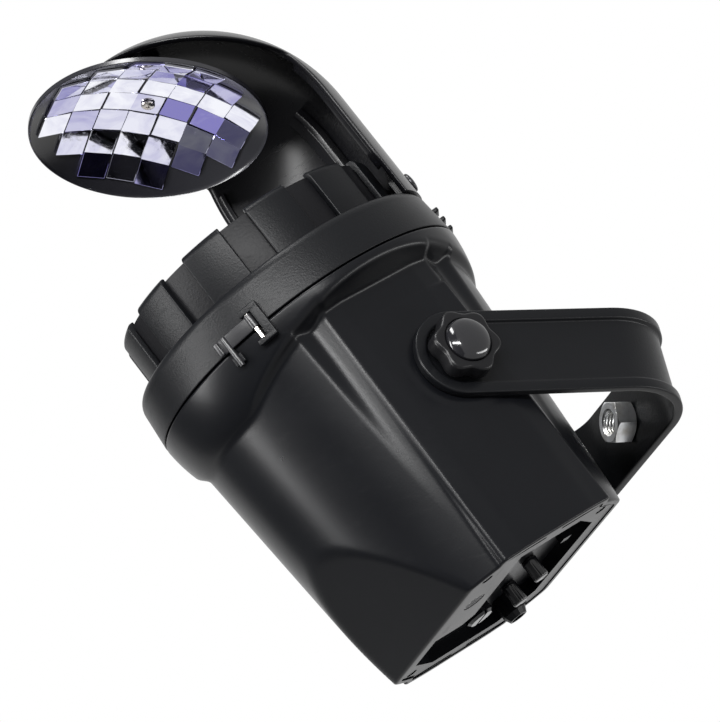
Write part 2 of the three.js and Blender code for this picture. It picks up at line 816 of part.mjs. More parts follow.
function catchBlock() {
  const body = rimBlock(catchFloor, catchFloor + catchBlockProud, catchBlockRear, catchBlockFront,
    catchBlockAngle, catchBlockSpan);
  const hubClear = (catchHubRadius + gap) / catchPinReach;
  const forkAngle = catchAngle + hubClear - catchBlockSpan / 2;
  const fork = rimBlock(catchFloor - overrun, catchFloor + 2 * catchBlockProud, catchForkRear,
    catchForkFront, forkAngle, catchBlockSpan);
  const pinHole = alongAxis(catchPinRadius + gap / 2, catchForkRear - catchPinBite,
    catchForkFront + catchPinBite,
    catchPinReach, catchAngle, pinFacets);
  return body.subtract(fork).subtract(pinHole);
}

function catchPin() {
  return alongAxis(catchPinRadius, catchForkRear - catchPinBite + gap, catchForkFront + catchPinBite - gap,
    catchPinReach, catchAngle, pinFacets);
}

function catchLever() {
  const inner = catchFloor + gap;
  const outer = inner + catchLeverThickness;
  const span = catchAngle - catchLeverEnd;
  const plate = rimBlock(inner, outer, catchLeverRear, catchLeverFront, catchAngle - span / 2, span);
  const tab = rimBlock(inner, outer + catchTabProud, catchLeverRear, catchLeverFront,
    catchLeverEnd + catchTabAngle / 2, catchTabAngle);
  const hub = alongAxis(catchHubRadius, catchLeverRear, catchLeverFront, catchPinReach, catchAngle,
    pinFacets);
  const latch = alongAxis(catchLatchRadius, catchLatchRear, catchLeverFront, inner + catchLatchRadius,
    catchSaddleAngle, pinFacets);
  const eye = alongAxis(catchPinRadius + gap, catchLeverRear - overrun, catchLeverFront + overrun,
    catchPinReach, catchAngle, pinFacets);
  return plate.add(tab).add(hub).add(latch).subtract(eye);
}

function catchSaddle() {
  const seat = catchFloor + gap + catchLatchRadius;
  const body = rimBlock(catchFloor, seat, catchSaddleRear, catchSaddleFront, catchSaddleAngle,
    catchSaddleSpan);
  return body.subtract(alongAxis(catchLatchRadius + gap, catchSaddleRear - overrun,
    catchSaddleFront + overrun, seat,
    catchSaddleAngle, pinFacets));
}

const crownFoot = ringLength + gap;
const crownTop = crownFoot + crownLength;

function crownAngles() {
  return Array.from({ length: crownBlocks }, (_, k) => (k + 0.5) * 2 * Math.PI / crownBlocks);
}

function ventCrown() {
  const inner = crownRadius - crownWall;
  const points = [[inner, crownFoot], [crownRadius, crownFoot]];
  const steps = 2;
  for (let step = 0; step <= steps; step += 1) {
    const angle = quarterTurn * step / steps;
    points.push([crownRadius - crownRound + crownRound * Math.cos(angle),
      crownTop - crownRound + crownRound * Math.sin(angle)]);
  }
  points.push([inner - crownLip, crownTop], [inner - crownLip, crownTop - crownWall],
    [inner, crownTop - crownWall - crownLip]);
  const shell = turned(points, ringFacets);
  const blocks = join(crownAngles().map((angle) => sector(angle, crownBlockAngle, crownRadius + overrun,
    crownFoot - overrun, crownTop + overrun)));
  const sill = tube(crownRadius, crownSillInner, crownFoot, crownFoot + crownSill, ringFacets);
  return shell.intersect(blocks).add(sill);
}

function frontBaffle() {
  const top = crownFoot + baffleHeight;
  const disc = tube(bafflePanelRadius, tubeRadius + gap, top - baffleThickness, top, ringFacets);
  const shell = tube(bafflePanelRadius, bafflePanelRadius - bafflePanelWall, crownFoot,
    top - baffleThickness / 2, ringFacets);
  const step = Math.PI / crownBlocks;
  const panels = join(crownAngles().map((angle) => sector(angle + step, bafflePanelAngle, crownRadius,
    crownFoot - overrun, top + overrun)));
  return shell.intersect(panels).add(disc);
}

function lensTube() {
  const flangeFoot = crownFoot + baffleHeight + gap;
  const body = turned([[filterShoulderBore, tubeRear], [tubeRadius, tubeRear], [tubeRadius, flangeFoot],
    [tubeFlangeRadius, flangeFoot], [tubeFlangeRadius, flangeFoot + tubeFlange],
      [tubeRadius, flangeFoot + tubeFlange],
    [tubeRadius, tubeFront], [tubeBore, tubeFront], [tubeBore, lensSeat], [lensShoulderBore, lensSeat],
    [lensShoulderBore, filterSeat], [filterShoulderBore, filterSeat]], tubeFacets);
  return body;
}

function objectiveLens() {
  const foot = lensSeat + gap;
  const points = [[0, foot], [lensRadius, foot], [lensRadius, foot + lensEdge]];
  const radius = (lensRadius ** 2 + lensBulge ** 2) / (2 * lensBulge);
  const steps = 6;
  for (let step = 1; step <= steps; step += 1) {
    const across = lensRadius * (1 - step / steps);
    points.push([across, foot + lensEdge + lensBulge - radius + Math.sqrt(radius ** 2 - across ** 2)]);
  }
  return turned(points, tubeFacets);
}

function lensRetainer() {
  const foot = lensSeat + gap + lensEdge + gap;
  const sag = lensRadius - lensEdge;
  return turned([[lensRadius, foot], [lensRadius, foot + retainerLength + lensEdge],
    [sag, foot + retainerLength + lensEdge], [sag, foot + retainerLength]], tubeFacets);
}

function colourFilter() {
  return rod(lensShoulderBore - gap, filterSeat + gap, filterSeat + gap + filterThickness, tubeFacets);
}

// The dome's frame looks along the dish's axis from the dome's centre. The dish's own frame is shifted
// from it, toward the nose.
const domeFrame = shift(0, 0, domeCentre).multiply(turn(-dishTilt, 0, 0));
const dishFrame = domeFrame.clone().multiply(shift(0, -dishShift, 0));

function inDish(matrix) {
  return dishFrame.clone().multiply(matrix);
}

function hoodForm(radius) {
  const from = crownFoot;
  const barrel = rod(radius, from, domeCentre, ringFacets);
  const dome = solid(new THREE.SphereGeometry(radius, ringFacets, domeRings),
    shift(0, 0, domeCentre).multiply(turn(quarterTurn, 0, 0)));
  return barrel.add(dome);
}

function hoodRegion(lift) {
  const reach = 3 * hoodRadius;
  const above = block(reach, reach, reach, 0, hoodEdgeHeight + lift + reach / 2, domeCentre);
  const mouth = domeFrame.clone().multiply(shift(0, 0, hoodRimDistance + lift + reach / 2));
  const dome = solid(new THREE.BoxGeometry(reach, reach, reach), mouth);
  return above.add(dome);
}

function hood() {
  const keepFront = block(4 * hoodRadius, 4 * hoodRadius, 4 * hoodRadius, 0, 0, crownFoot + 2 * hoodRadius);
  const inner = hoodForm(hoodRadius - hoodWall);
  const core = inner.add(rod(hoodRadius - hoodWall, 0, domeCentre, ringFacets));
  let shell = hoodForm(hoodRadius).subtract(core).intersect(hoodRegion(0)).intersect(keepFront);
  const ribInner = hoodRadius - hoodWall - hoodRibDepth;
  const ribs = tube(hoodRadius - hoodWall / 2, ribInner, crownFoot + hoodLugLength + overrun, hoodRibEnd,
    ringFacets)
    .intersect(block(4 * hoodRadius, hoodRibWidth, 4 * hoodRadius, 0, hoodEdgeHeight + hoodRibWidth / 2, 0))
    .intersect(hoodForm(hoodRadius - hoodWall / 2));
  shell = shell.add(ribs);
  for (const side of [1, -1]) {
    const place = inDish(shift(side * motorPostOffset, 0, 0));
    const post = rod(motorPostRadius, motorRear + gap, hoodRadius, tubeFacets, place)
      .intersect(hoodForm(hoodRadius - hoodWall / 2));
    shell = shell.add(post);
    shell = shell.subtract(rod(motorScrewShank + gap, motorFront, hoodRadius + overrun, pinFacets, place));
    shell = shell.subtract(rod(motorScrewHead + gap, motorScrewSeat, hoodRadius + overrun, tubeFacets,
      place));
  }
  for (const angle of [hoodLugAngle, Math.PI - hoodLugAngle]) {
    shell = shell.subtract(rod(hoodScrewShank + gap, ringBore, hoodRadius + overrun, pinFacets,
      radial(angle, hoodScrewAt)));
  }
  return shell;
}

function hoodScrew(angle) {
  const seat = hoodRadius + gap;
  const place = radial(angle, hoodScrewAt);
  const inner = hoodRadius - hoodWall - hoodLugThickness;
  const head = turned([[0, seat], [hoodScrewHeadRadius, seat],
    [hoodScrewHeadRadius, seat + hoodScrewHeadHeight / 2],
    [hoodScrewHeadRadius - hoodScrewHeadHeight / 2, seat + hoodScrewHeadHeight],
      [0, seat + hoodScrewHeadHeight]],
  tubeFacets, place);
  return head.add(rod(hoodScrewShank, inner, seat + hoodScrewHeadHeight / 2, pinFacets, place));
}

// The wire duct follows the roof from the ring, then bends with the dome.
function wireDuct() {
  const roof = hoodRadius - hoodWall - gap - ductHeight / 2;
  const start = ringLength + hoodLugLength / 2;
  const endAngle = Math.asin((ductEnd - domeCentre) / roof);
  const points = [new THREE.Vector3(0, roof, start)];
  for (let step = 0; step <= ductSteps; step += 1) {
    const angle = endAngle * step / ductSteps;
    points.push(new THREE.Vector3(0, roof * Math.cos(angle), domeCentre + roof * Math.sin(angle)));
  }
  const path = new THREE.CurvePath();
  for (let k = 1; k < points.length; k += 1) {
    path.add(new THREE.LineCurve3(points[k - 1], points[k]));
  }
  const halfWidth = ductWidth / 2;
  const halfHeight = ductHeight / 2;
  const round = ductHeight / 3;
  const section = polygon([[-halfHeight, -halfWidth], [halfHeight - round, -halfWidth],
    [halfHeight, round - halfWidth],
    [halfHeight, halfWidth - round], [halfHeight - round, halfWidth], [-halfHeight, halfWidth]]);
  const straight = (domeCentre - start) / ductSteps;
  const swept = new THREE.ExtrudeGeometry(section,
    { steps: Math.round(path.getLength() / straight), extrudePath: path });
  const body = solid(swept);
  return body.intersect(hoodForm(hoodRadius - hoodWall - gap));
}

function dishMotor() {
  const body = rod(motorRadius, motorFront + gap, motorRear, tubeFacets, dishFrame);
  const collar = rod(2 * motorShaftRadius, motorFront, motorFront + 2 * gap, pinFacets, dishFrame);
  const holes = join([1, -1].map((side) => rod(motorScrewShank + gap, motorRear - motorScrewDepth - gap,
    motorRear + overrun,
    pinFacets, inDish(shift(side * motorPostOffset, 0, 0)))));
  return body.add(collar).subtract(holes);
}

// The motor's screws sit in flats that are sunk into the dome.
const motorScrewSeat = Math.sqrt(hoodRadius ** 2
  - (Math.hypot(dishShift, motorPostOffset) + motorScrewHead) ** 2);

function motorScrew(side) {
  const place = inDish(shift(side * motorPostOffset, 0, 0));
  const seat = motorScrewSeat + gap;
  return rod(motorScrewHead, seat, seat + motorScrewHead / 2, pinFacets, place)
    .add(rod(motorScrewShank, motorRear - motorScrewDepth, seat + motorScrewHead / 4, pinFacets, place));
}

const dishSphere = (dishRimRadius ** 2 + dishDepth ** 2) / (2 * dishDepth);
const mosaicReach = dishSphere - tileBed - tileThickness;

function bowlHeight(across, radius) {
  return dishFloor - dishSphere + Math.sqrt(radius ** 2 - across ** 2);
}

// Points across the bowl on a sphere of the given radius, from the axis out to the rim.
function bowlPoints(radius) {
  return Array.from({ length: dishSteps + 1 }, (_, step) => {
    const across = dishRimRadius * step / dishSteps;
    return [across, bowlHeight(across, radius)];
  });
}

function mirrorDish() {
  const bowl = turned([...bowlPoints(dishSphere), ...bowlPoints(dishSphere + dishWall).reverse()],
    ringFacets, dishFrame);
  const hubTop = dishFloor + dishWall + dishHubLength;
  const hub = rod(dishHubRadius, dishFloor + dishWall / 2, hubTop, tubeFacets, dishFrame);
  const bore = rod(dishScrewRadius / 2 + gap, dishFloor - overrun, hubTop + overrun, pinFacets, dishFrame);
  return bowl.add(hub).add(mirrorMosaic()).subtract(bore);
}

// The open space in front of the mirror tiles: every tile's face is one flat face of this solid.
function mosaicSpace() {
  const pitchAngle = tilePitch / dishSphere;
  const middleRow = (tileRowHalves.length - 1) / 2;
  const reach = 2 * dishSphere;
  let space = null;
  tileRowHalves.forEach((half, row) => {
    const rowAngle = (row - middleRow) * pitchAngle;
    for (let column = -half; column <= half; column += 1) {
      const columnAngle = column * pitchAngle / Math.cos(rowAngle);
      const face = turn(0, columnAngle, 0).multiply(turn(rowAngle, 0, 0))
        .multiply(shift(0, 0, mosaicReach - reach / 2));
      const slab = solid(new THREE.BoxGeometry(reach, reach, reach), face);
      space = space ? space.intersect(slab) : slab;
    }
  });
  return space.transform(inDish(shift(0, 0, dishFloor - dishSphere)).elements);
}

// Square glass tiles in rows of a stepped outline, their faces flat and turned to the bowl's centre.
function mirrorMosaic() {
  const rows = tileRowHalves.length;
  const rects = tileRowHalves.map((half, row) => block((2 * half + 1) * tilePitch, tilePitch + gap,
    dishDepth + dishWall,
    0, (row - (rows - 1) / 2) * tilePitch, dishFloor - dishDepth / 2));
  const backing = turned([[0, dishRimDistance - dishDepth],
    ...bowlPoints(dishSphere + dishWall / 2).reverse()], ringFacets);
  return join(rects).intersect(backing).transform(dishFrame.elements).subtract(mosaicSpace());
}

function dishScrew() {
  const seat = dishFloor - tileBed - tileThickness - gap;
  const steps = 4;
  const points = [[0, seat], [dishScrewRadius, seat]];
  for (let step = 1; step <= steps; step += 1) {
    const angle = quarterTurn * step / steps;
    points.push([step === steps ? 0 : dishScrewRadius * Math.cos(angle),
      seat - dishScrewHeight * Math.sin(angle)]);
  }
  const head = turned(points, pinFacets, dishFrame);
  const shank = rod(dishScrewRadius / 2, seat - dishScrewHeight / 2, motorFront - 2 * gap, pinFacets,
    dishFrame);
  return head.add(shank);
}

// Rear cover
const coverFace = -housingLength + coverInset;
const recessFloor = -housingLength + recessDepth;

function coverScrewPlaces() {
  const signs = [1, -1];
  return signs.flatMap((side) => signs.map((rise) => [side * coverScrewAcross, rise * coverScrewUp]));
}

function recessShape(grow) {
  return polygon([[-recessBottomHalf, -recessBottom - grow], [-plateauEdge + grow, -recessBottom - grow],
    [-plateauEdge + grow, -plateauTop - plateauCut - grow], [-plateauEdge + plateauCut, -plateauTop - grow],
    [recessHalfWidth + grow, -plateauTop - grow], [recessHalfWidth + grow, recessSideHalf],
    [recessTopHalf, recessTop + grow], [-recessTopHalf, recessTop + grow],
      [-recessHalfWidth - grow, recessSideHalf],
    [-recessHalfWidth - grow, -recessSideHalf]]);
}

function rearCover() {
  const back = coverFace + coverThickness;
  const slab = block(4 * housingRadius, 4 * housingRadius, coverThickness, 0, 0, (coverFace + back) / 2);
  let cover = sculptedForm(wall + gap, -housingLength - overrun, 0, innerFacets).intersect(slab);
  cover = cover.add(prism(recessShape(recessWall), coverFace, recessFloor + recessWall));
  cover = cover.intersect(sculptedForm(wall + gap, -housingLength - overrun, 0, innerFacets));
  cover = cover.subtract(prism(recessShape(0), coverFace - overrun, recessFloor));
  for (const side of [1, -1]) {
    for (const rise of [1, -1]) {
      cover = cover.subtract(block(slotWidth, slotLength, 4 * coverThickness, side * slotAcross,
        rise * (slotStart + slotLength / 2), coverFace));
    }
  }
  for (const [x, y] of coverScrewPlaces()) {
    cover = cover.subtract(rod(coverScrewShank + gap, coverFace - overrun, back + overrun, pinFacets,
      shift(x, y, 0)));
    cover = cover.subtract(rod(coverScrewRadius + gap, coverFace - overrun, coverFace + coverScrewHead,
      pinFacets, shift(x, y, 0)));
  }
  const through = (radius, x, y) => rod(radius + gap, recessFloor - overrun,
    recessFloor + recessWall + overrun,
    tubeFacets, shift(x, y, 0));
  cover = cover.subtract(through(controlShaftRadius, soundKnobAcross, controlKnobHigh));
  cover = cover.subtract(through(controlShaftRadius, speedKnobAcross, controlKnobHigh));
  cover = cover.subtract(through(glandRadius - gap - recessWall / 4, glandAcross, glandHigh));
  cover = cover.subtract(through(fuseBodyRadius, fuseAcross, fuseHigh));
  cover = cover.subtract(block(switchLength + switchTravel, switchWidth / 2, 4 * recessWall,
    switchAcross + switchTravel / 2,
    switchHigh, recessFloor));
  const micHole = rod(microphoneRadius + gap, coverFace - overrun, back + overrun, tubeFacets,
    shift(microphoneAcross, -microphoneDown, 0));
  return cover.subtract(micHole);
}

function coverScrew(x, y) {
  const seat = coverFace + coverScrewHead - gap;
  const head = rod(coverScrewRadius, coverFace - gap / 2, seat, pinFacets, shift(x, y, 0));
  return head.add(rod(coverScrewShank - gap, seat - gap, coverFace + coverScrewLength, pinFacets,
    shift(x, y, 0)));
}

function controlKnob(across) {
  const foot = recessFloor - gap;
  const tip = recessFloor - controlKnobLength;
  const place = shift(across, controlKnobHigh, 0);
  const body = turned([[0, tip], [controlKnobRadius - controlKnobRound, tip],
    [controlKnobRadius, tip + controlKnobRound],
    [controlKnobRadius, foot], [0, foot]], tubeFacets, place);
  const marker = block(controlKnobRound / 2, controlKnobRadius, controlKnobRound, across,
    controlKnobHigh + controlKnobRadius / 2, tip);
  return body.add(rod(controlShaftRadius, foot - gap, recessFloor + recessWall + controlBodyLength / 2,
    pinFacets, place))
    .subtract(marker);
}

function controlBody(across) {
  const foot = recessFloor + recessWall + gap;
  return tube(controlBodyRadius, controlShaftRadius + gap, foot, foot + controlBodyLength, tubeFacets,
    shift(across, controlKnobHigh, 0));
}

function modeSwitch() {
  const foot = recessFloor - gap;
  const cap = block(switchLength - switchTravel, switchWidth, switchHeight, switchAcross, switchHigh,
    foot - switchHeight / 2);
  const stem = block(switchTravel, switchWidth / 3, switchHeight, switchAcross, switchHigh,
    foot + switchHeight / 2 - gap);
  return cap.add(stem);
}

function switchBody() {
  const foot = recessFloor + recessWall + gap;
  const middle = switchAcross + switchTravel / 2;
  const body = block(2 * switchLength, 2 * switchWidth, switchBodyDepth, middle, switchHigh,
    foot + switchBodyDepth / 2);
  const slot = block(switchLength + switchTravel, switchWidth / 2, switchHeight, middle, switchHigh, foot);
  return body.subtract(slot);
}

function cableGland() {
  const seat = recessFloor - gap;
  const tip = seat - glandHeight;
  const place = shift(glandAcross, glandHigh, 0);
  const neck = glandRadius - gap - recessWall / 4;
  return turned([[glandBore, tip], [glandRadius - glandHeight / 8, tip],
    [glandRadius, tip + glandHeight / 4],
    [glandRadius, seat], [neck, seat], [neck, recessFloor + recessWall + glandNutLength + 2 * gap],
    [glandBore, recessFloor + recessWall + glandNutLength + 2 * gap]], tubeFacets, place);
}

function glandNut() {
  const foot = recessFloor + recessWall + gap;
  const place = shift(glandAcross, glandHigh, foot + glandNutLength / 2).multiply(turn(quarterTurn, 0, 0));
  const nut = solid(new THREE.CylinderGeometry(glandNutRadius, glandNutRadius, glandNutLength, 6), place);
  return nut.subtract(rod(glandRadius - recessWall / 4, foot - overrun, foot + glandNutLength + overrun,
    tubeFacets,
    shift(glandAcross, glandHigh, 0)));
}

function fuseHolder() {
  const seat = recessFloor - gap;
  const place = shift(fuseAcross, fuseHigh, 0);
  const tip = seat - fuseHeight;
  const cap = turned([[0, tip], [fuseRadius - fuseHeight / 5, tip], [fuseRadius, tip + fuseHeight / 5],
    [fuseRadius, seat],
    [fuseBodyRadius, seat], [fuseBodyRadius, recessFloor + fuseBodyLength],
      [0, recessFloor + fuseBodyLength]], tubeFacets, place);
  return cap.subtract(block(2 * fuseRadius, fuseSlotWidth, 2 * fuseSlotDepth, fuseAcross, fuseHigh, tip));
}

function microphone() {
  const foot = coverFace + grilleThickness + 2 * gap;
  return rod(microphoneRadius - gap, foot, foot + microphoneLength, tubeFacets,
    shift(microphoneAcross, -microphoneDown, 0));
}

function microphoneGrille() {
  const place = shift(microphoneAcross, -microphoneDown, 0);
  let disc = rod(microphoneRadius, coverFace + gap / 2, coverFace + gap / 2 + grilleThickness, tubeFacets,
    place);
  const reach = microphoneRadius - grilleHolePitch / 2;
  const count = Math.ceil(reach / grilleHolePitch);
  for (let row = -count; row <= count; row += 1) {
    for (let column = -count; column <= count; column += 1) {
      const x = column * grilleHolePitch;
      const y = row * grilleHolePitch;
      if (Math.hypot(x, y) < reach) {
        disc = disc.subtract(rod(grilleHoleRadius, coverFace - overrun, coverFace + overrun, pinFacets / 2,
          place.clone().multiply(shift(x, y, 0))));
      }
    }
  }
  return disc;
}

// Inside the housing
function chassis() {
  const front = -chassisAt + chassisThickness;
  const slab = block(4 * housingRadius, 4 * housingRadius, chassisThickness, 0, 0, (front - chassisAt) / 2);
  let plate = sculptedForm(wall + gap, -housingLength, 0, innerFacets).intersect(slab);
  plate = plate.subtract(rod(chassisHole, -chassisAt - overrun, front + overrun, tubeFacets));
  for (let vent = 0; vent < chassisVents; vent += 1) {
    const angle = 2 * Math.PI * vent / chassisVents;
    const place = shift(chassisVentCircle * Math.cos(angle), chassisVentCircle * Math.sin(angle), 0);
    plate = plate.subtract(rod(chassisVentRadius, -chassisAt - overrun, front + overrun, pinFacets, place));
  }
  const clearBosses = join([1, -1].map((side) => rod(insertBossRadius + gap, insertInner - overrun,
    housingRadius,
    tubeFacets, pivotFrame(side))));
  return plate.subtract(clearBosses);
}

function reflector() {
  const foot = -chassisAt + chassisThickness + gap;
  const inner = [];
  const outer = [];
  for (let step = 0; step <= reflectorSteps; step += 1) {
    const share = step / reflectorSteps;
    const z = foot + reflectorWall + (reflectorDepth - reflectorWall) * share;
    const radius = reflectorNeckBore + (reflectorRadius - reflectorWall - reflectorNeckBore)
      * Math.sqrt(share);
    inner.push([radius, z]);
    outer.push([radius + reflectorWall, z]);
  }
  const base = reflectorNeckBore + reflectorWall;
  const points = [[reflectorNeckBore, foot - chassisThickness - gap],
    [reflectorNeck, foot - chassisThickness - gap],
    [reflectorNeck, foot], [base + reflectorNeck / 2, foot], ...outer.slice(1), ...inner.reverse()];
  return turned(points, tubeFacets);
}

function lampCapsule() {
  const foot = -chassisAt - gap + lampPinLength / 2;
  const top = foot + lampBase + lampLength;
  const bulb = turned([[0, foot], [lampRadius, foot], [lampRadius, top - lampRadius],
    [lampRadius / 2, top - lampRadius / 4],
    [0, top]], pinFacets);
  const pins = join([1, -1].map((side) => rod(lampPinRadius, foot - lampPinLength, foot + gap,
    pinFacets / 2,
    shift(side * lampPinHalfPitch, 0, 0))));
  return bulb.add(pins);
}

function lampSocket() {
  const front = -chassisAt - gap;
  const body = block(socketWidth, socketHeight, socketDepth, 0, 0, front - socketDepth / 2);
  const holes = join([1, -1].map((side) => rod(lampPinRadius + gap, front - lampPinLength,
    front + overrun, pinFacets / 2,
    shift(side * lampPinHalfPitch, 0, 0))));
  return body.subtract(holes);
}

function transformerCore() {
  const front = -chassisAt - gap;
  const core = block(coreWidth, coreHeight, coreDepth, 0, -coreDown, front - coreDepth / 2);
  const window2 = block(coilWidth + 2 * gap, coilHeight, coilDepth + 2 * gap, 0, -coreDown,
    front - coreDepth / 2);
  const limb = block(coilWidth / 2, coreHeight, coreDepth, 0, -coreDown, front - coreDepth / 2);
  return core.subtract(window2).add(limb);
}

function transformerCoil() {
  const middle = -chassisAt - gap - coreDepth / 2;
  const coil = block(coilWidth, coilHeight, coilDepth, 0, -coreDown, middle);
  return coil.subtract(block(coilWidth / 2 + 2 * gap, coreHeight + 2 * gap, 2 * coilDepth, 0, -coreDown,
    middle));
}

function circuitBoard() {
  const foot = recessFloor + recessWall + controlBodyLength + 2 * gap;
  const board = block(boardWidth, boardHeight, boardThickness, boardAcross, boardHigh,
    foot + boardThickness / 2);
  const fuseHole = rod(fuseBodyRadius + 2 * gap, foot - overrun, foot + overrun, tubeFacets,
    shift(fuseAcross, fuseHigh, 0));
  return board.subtract(fuseHole);
}

function boardCapacitor(k) {
  const foot = recessFloor + recessWall + controlBodyLength + boardThickness + 3 * gap;
  return rod(capacitorRadius, foot, foot + capacitorHeight, tubeFacets,
    shift(k * capacitorPitch, boardHigh, 0));
}

// Assembly
const light = new THREE.Group();
const lamp = new THREE.Group();
lamp.position.set(0, 0, -yokeReach);
lamp.rotation.x = quarterTurn + noseDown;
const optics = new THREE.Group();
optics.position.set(0, -pivotAboveAxis, pivotBehindJoint);
lamp.add(optics);
light.add(lamp);

const satinBlack = () => finish(0x17181b, 0.45, 0);
const textureBlack = () => finish(0x1a1a1c, 0.62, 0);
const glossBlack = () => finish(0x0a0a0b, 0.15, 0);
const zinc = () => finish(0xb4b6b8, 0.35, 1);
const steel = () => finish(0x9a9c9f, 0.4, 1);
const blackSteel = () => finish(0x1a1a1a, 0.5, 0.6);

piece(light, 'yoke', yokeStrap(), textureBlack());
piece(light, 'clamp_nut', clampNut(), zinc());

piece(optics, 'rear_housing', rearHousing(), satinBlack());

for (const [side, label] of [[1, 'near'], [-1, 'far']]) {
  const mount = new THREE.Group();
  mount.position.set(0, pivotAboveAxis, -pivotBehindJoint);
  mount.rotation.y = side * quarterTurn;
  optics.add(mount);
  piece(mount, `${label}_pivot_insert`, pivotInsert(), finish(0xb08d45, 0.35, 1));
  piece(mount, `${label}_friction_washer`, frictionWasher(), finish(0x4a2f22, 0.8, 0));
  piece(mount, `${label}_clamp_stud`, clampStud(), zinc());
  piece(mount, `${label}_clamp_knob`, knobStar(), satinBlack());
  piece(mount, `${label}_knob_cap`, knobCap(), glossBlack());
}

piece(optics, 'front_ring', frontRing(), textureBlack());
piece(optics, 'catch_block', catchBlock(), satinBlack());
piece(optics, 'catch_saddle', catchSaddle(), satinBlack());
piece(optics, 'catch_pin', catchPin(), steel());
piece(optics, 'catch_lever', catchLever(), satinBlack());
piece(optics, 'vent_crown', ventCrown(), textureBlack());
piece(optics, 'front_baffle', frontBaffle(), textureBlack());
piece(optics, 'lens_tube', lensTube(), satinBlack());
piece(optics, 'objective_lens', objectiveLens(), finish(0xdfe8ee, 0.05, 0));
piece(optics, 'lens_retainer', lensRetainer(), blackSteel());
piece(optics, 'colour_filter', colourFilter(), finish(0x8a7ad0, 0.05, 0));
piece(optics, 'hood', hood(), satinBlack());
[hoodLugAngle, Math.PI - hoodLugAngle].forEach((angle, k) => {
  piece(optics, `hood_screw_${k + 1}`, hoodScrew(angle), satinBlack());
});
piece(optics, 'wire_duct', wireDuct(), satinBlack());
piece(optics, 'dish_motor', dishMotor(), finish(0xb9b9b4, 0.4, 1));
[1, -1].forEach((side, k) => {
  piece(optics, `motor_screw_${k + 1}`, motorScrew(side), zinc());
});
piece(optics, 'mirror_dish', mirrorDish(), finish(0xe8ecf4, 0.03, 1));
piece(optics, 'dish_screw', dishScrew(), zinc());
piece(optics, 'rear_cover', rearCover(), satinBlack());
coverScrewPlaces().forEach(([x, y], k) => {
  piece(optics, `cover_screw_${k + 1}`, coverScrew(x, y), blackSteel());
});
for (const [label, across] of [['sound', soundKnobAcross], ['speed', speedKnobAcross]]) {
  piece(optics, `${label}_knob`, controlKnob(across), glossBlack());
  piece(optics, `${label}_control`, controlBody(across), finish(0x6f7276, 0.4, 1));
}
piece(optics, 'mode_switch', modeSwitch(), satinBlack());
piece(optics, 'switch_body', switchBody(), finish(0x8b8f93, 0.4, 1));
piece(optics, 'cable_gland', cableGland(), satinBlack());
piece(optics, 'gland_nut', glandNut(), satinBlack());
piece(optics, 'fuse_holder', fuseHolder(), glossBlack());
piece(optics, 'microphone', microphone(), steel());
piece(optics, 'microphone_grille', microphoneGrille(), blackSteel());
piece(optics, 'chassis_plate', chassis(), finish(0xa7a9ab, 0.5, 1));
piece(optics, 'reflector', reflector(), finish(0xd5d8dc, 0.1, 1));
piece(optics, 'lamp_capsule', lampCapsule(), finish(0xf2f4f6, 0.05, 0));
piece(optics, 'lamp_socket', lampSocket(), finish(0xe6e0d2, 0.6, 0));
piece(optics, 'transformer_core', transformerCore(), finish(0x55585c, 0.6, 0.8));
piece(optics, 'transformer_coil', transformerCoil(), finish(0xa85f2c, 0.5, 0.3));
piece(optics, 'circuit_board', circuitBoard(), finish(0x2c5a35, 0.6, 0));
for (let k = 0; k < capacitorCount; k += 1) {
  piece(optics, `capacitor_${k + 1}`, boardCapacitor(k), finish(0x23324f, 0.5, 0));
}

export default light;
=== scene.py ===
import math

import bmesh
import bpy
import numpy as np
from mathutils import Matrix, Vector


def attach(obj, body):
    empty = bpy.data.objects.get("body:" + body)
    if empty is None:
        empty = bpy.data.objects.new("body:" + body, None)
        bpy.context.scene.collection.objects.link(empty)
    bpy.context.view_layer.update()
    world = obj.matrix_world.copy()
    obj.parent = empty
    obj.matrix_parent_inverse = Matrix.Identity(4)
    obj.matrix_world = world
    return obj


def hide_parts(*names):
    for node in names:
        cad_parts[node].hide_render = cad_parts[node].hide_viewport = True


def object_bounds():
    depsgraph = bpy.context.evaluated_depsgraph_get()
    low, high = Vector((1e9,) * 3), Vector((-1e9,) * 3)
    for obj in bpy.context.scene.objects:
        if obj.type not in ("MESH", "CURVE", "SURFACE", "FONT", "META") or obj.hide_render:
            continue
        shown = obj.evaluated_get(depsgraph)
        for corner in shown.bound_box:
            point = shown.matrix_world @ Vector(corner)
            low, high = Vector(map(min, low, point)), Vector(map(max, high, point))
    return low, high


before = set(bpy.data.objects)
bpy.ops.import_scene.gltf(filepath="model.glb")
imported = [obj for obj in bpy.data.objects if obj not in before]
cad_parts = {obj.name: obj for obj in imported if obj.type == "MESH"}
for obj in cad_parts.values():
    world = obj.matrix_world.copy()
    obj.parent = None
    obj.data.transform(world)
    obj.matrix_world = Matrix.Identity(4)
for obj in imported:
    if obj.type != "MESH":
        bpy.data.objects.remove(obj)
cad_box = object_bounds()
scene = bpy.context.scene
scene.view_settings.view_transform = "Standard"


# Camera: below the hanging lamp and beside its near knob, rolled so that the hood is at the top left.
# The three directions are the picture's right, up and back towards the viewer.
camera_place = Vector((1.2259, 0.6553, -0.7400))
picture_back = Vector((0.7979, 0.4484, -0.4028)).normalized()
picture_right = Vector((0.5001, -0.8655, 0.0269)).cross(picture_back).normalized()
picture_up = picture_back.cross(picture_right)
camera_data = bpy.data.cameras.new("camera")
camera_data.lens = 182.84
camera_data.sensor_width = 36
camera = bpy.data.objects.new("camera", camera_data)
camera_turn = Matrix((picture_right, picture_up, picture_back)).transposed().to_4x4()
camera.matrix_world = Matrix.Translation(camera_place) @ camera_turn
scene.collection.objects.link(camera)
scene.camera = camera


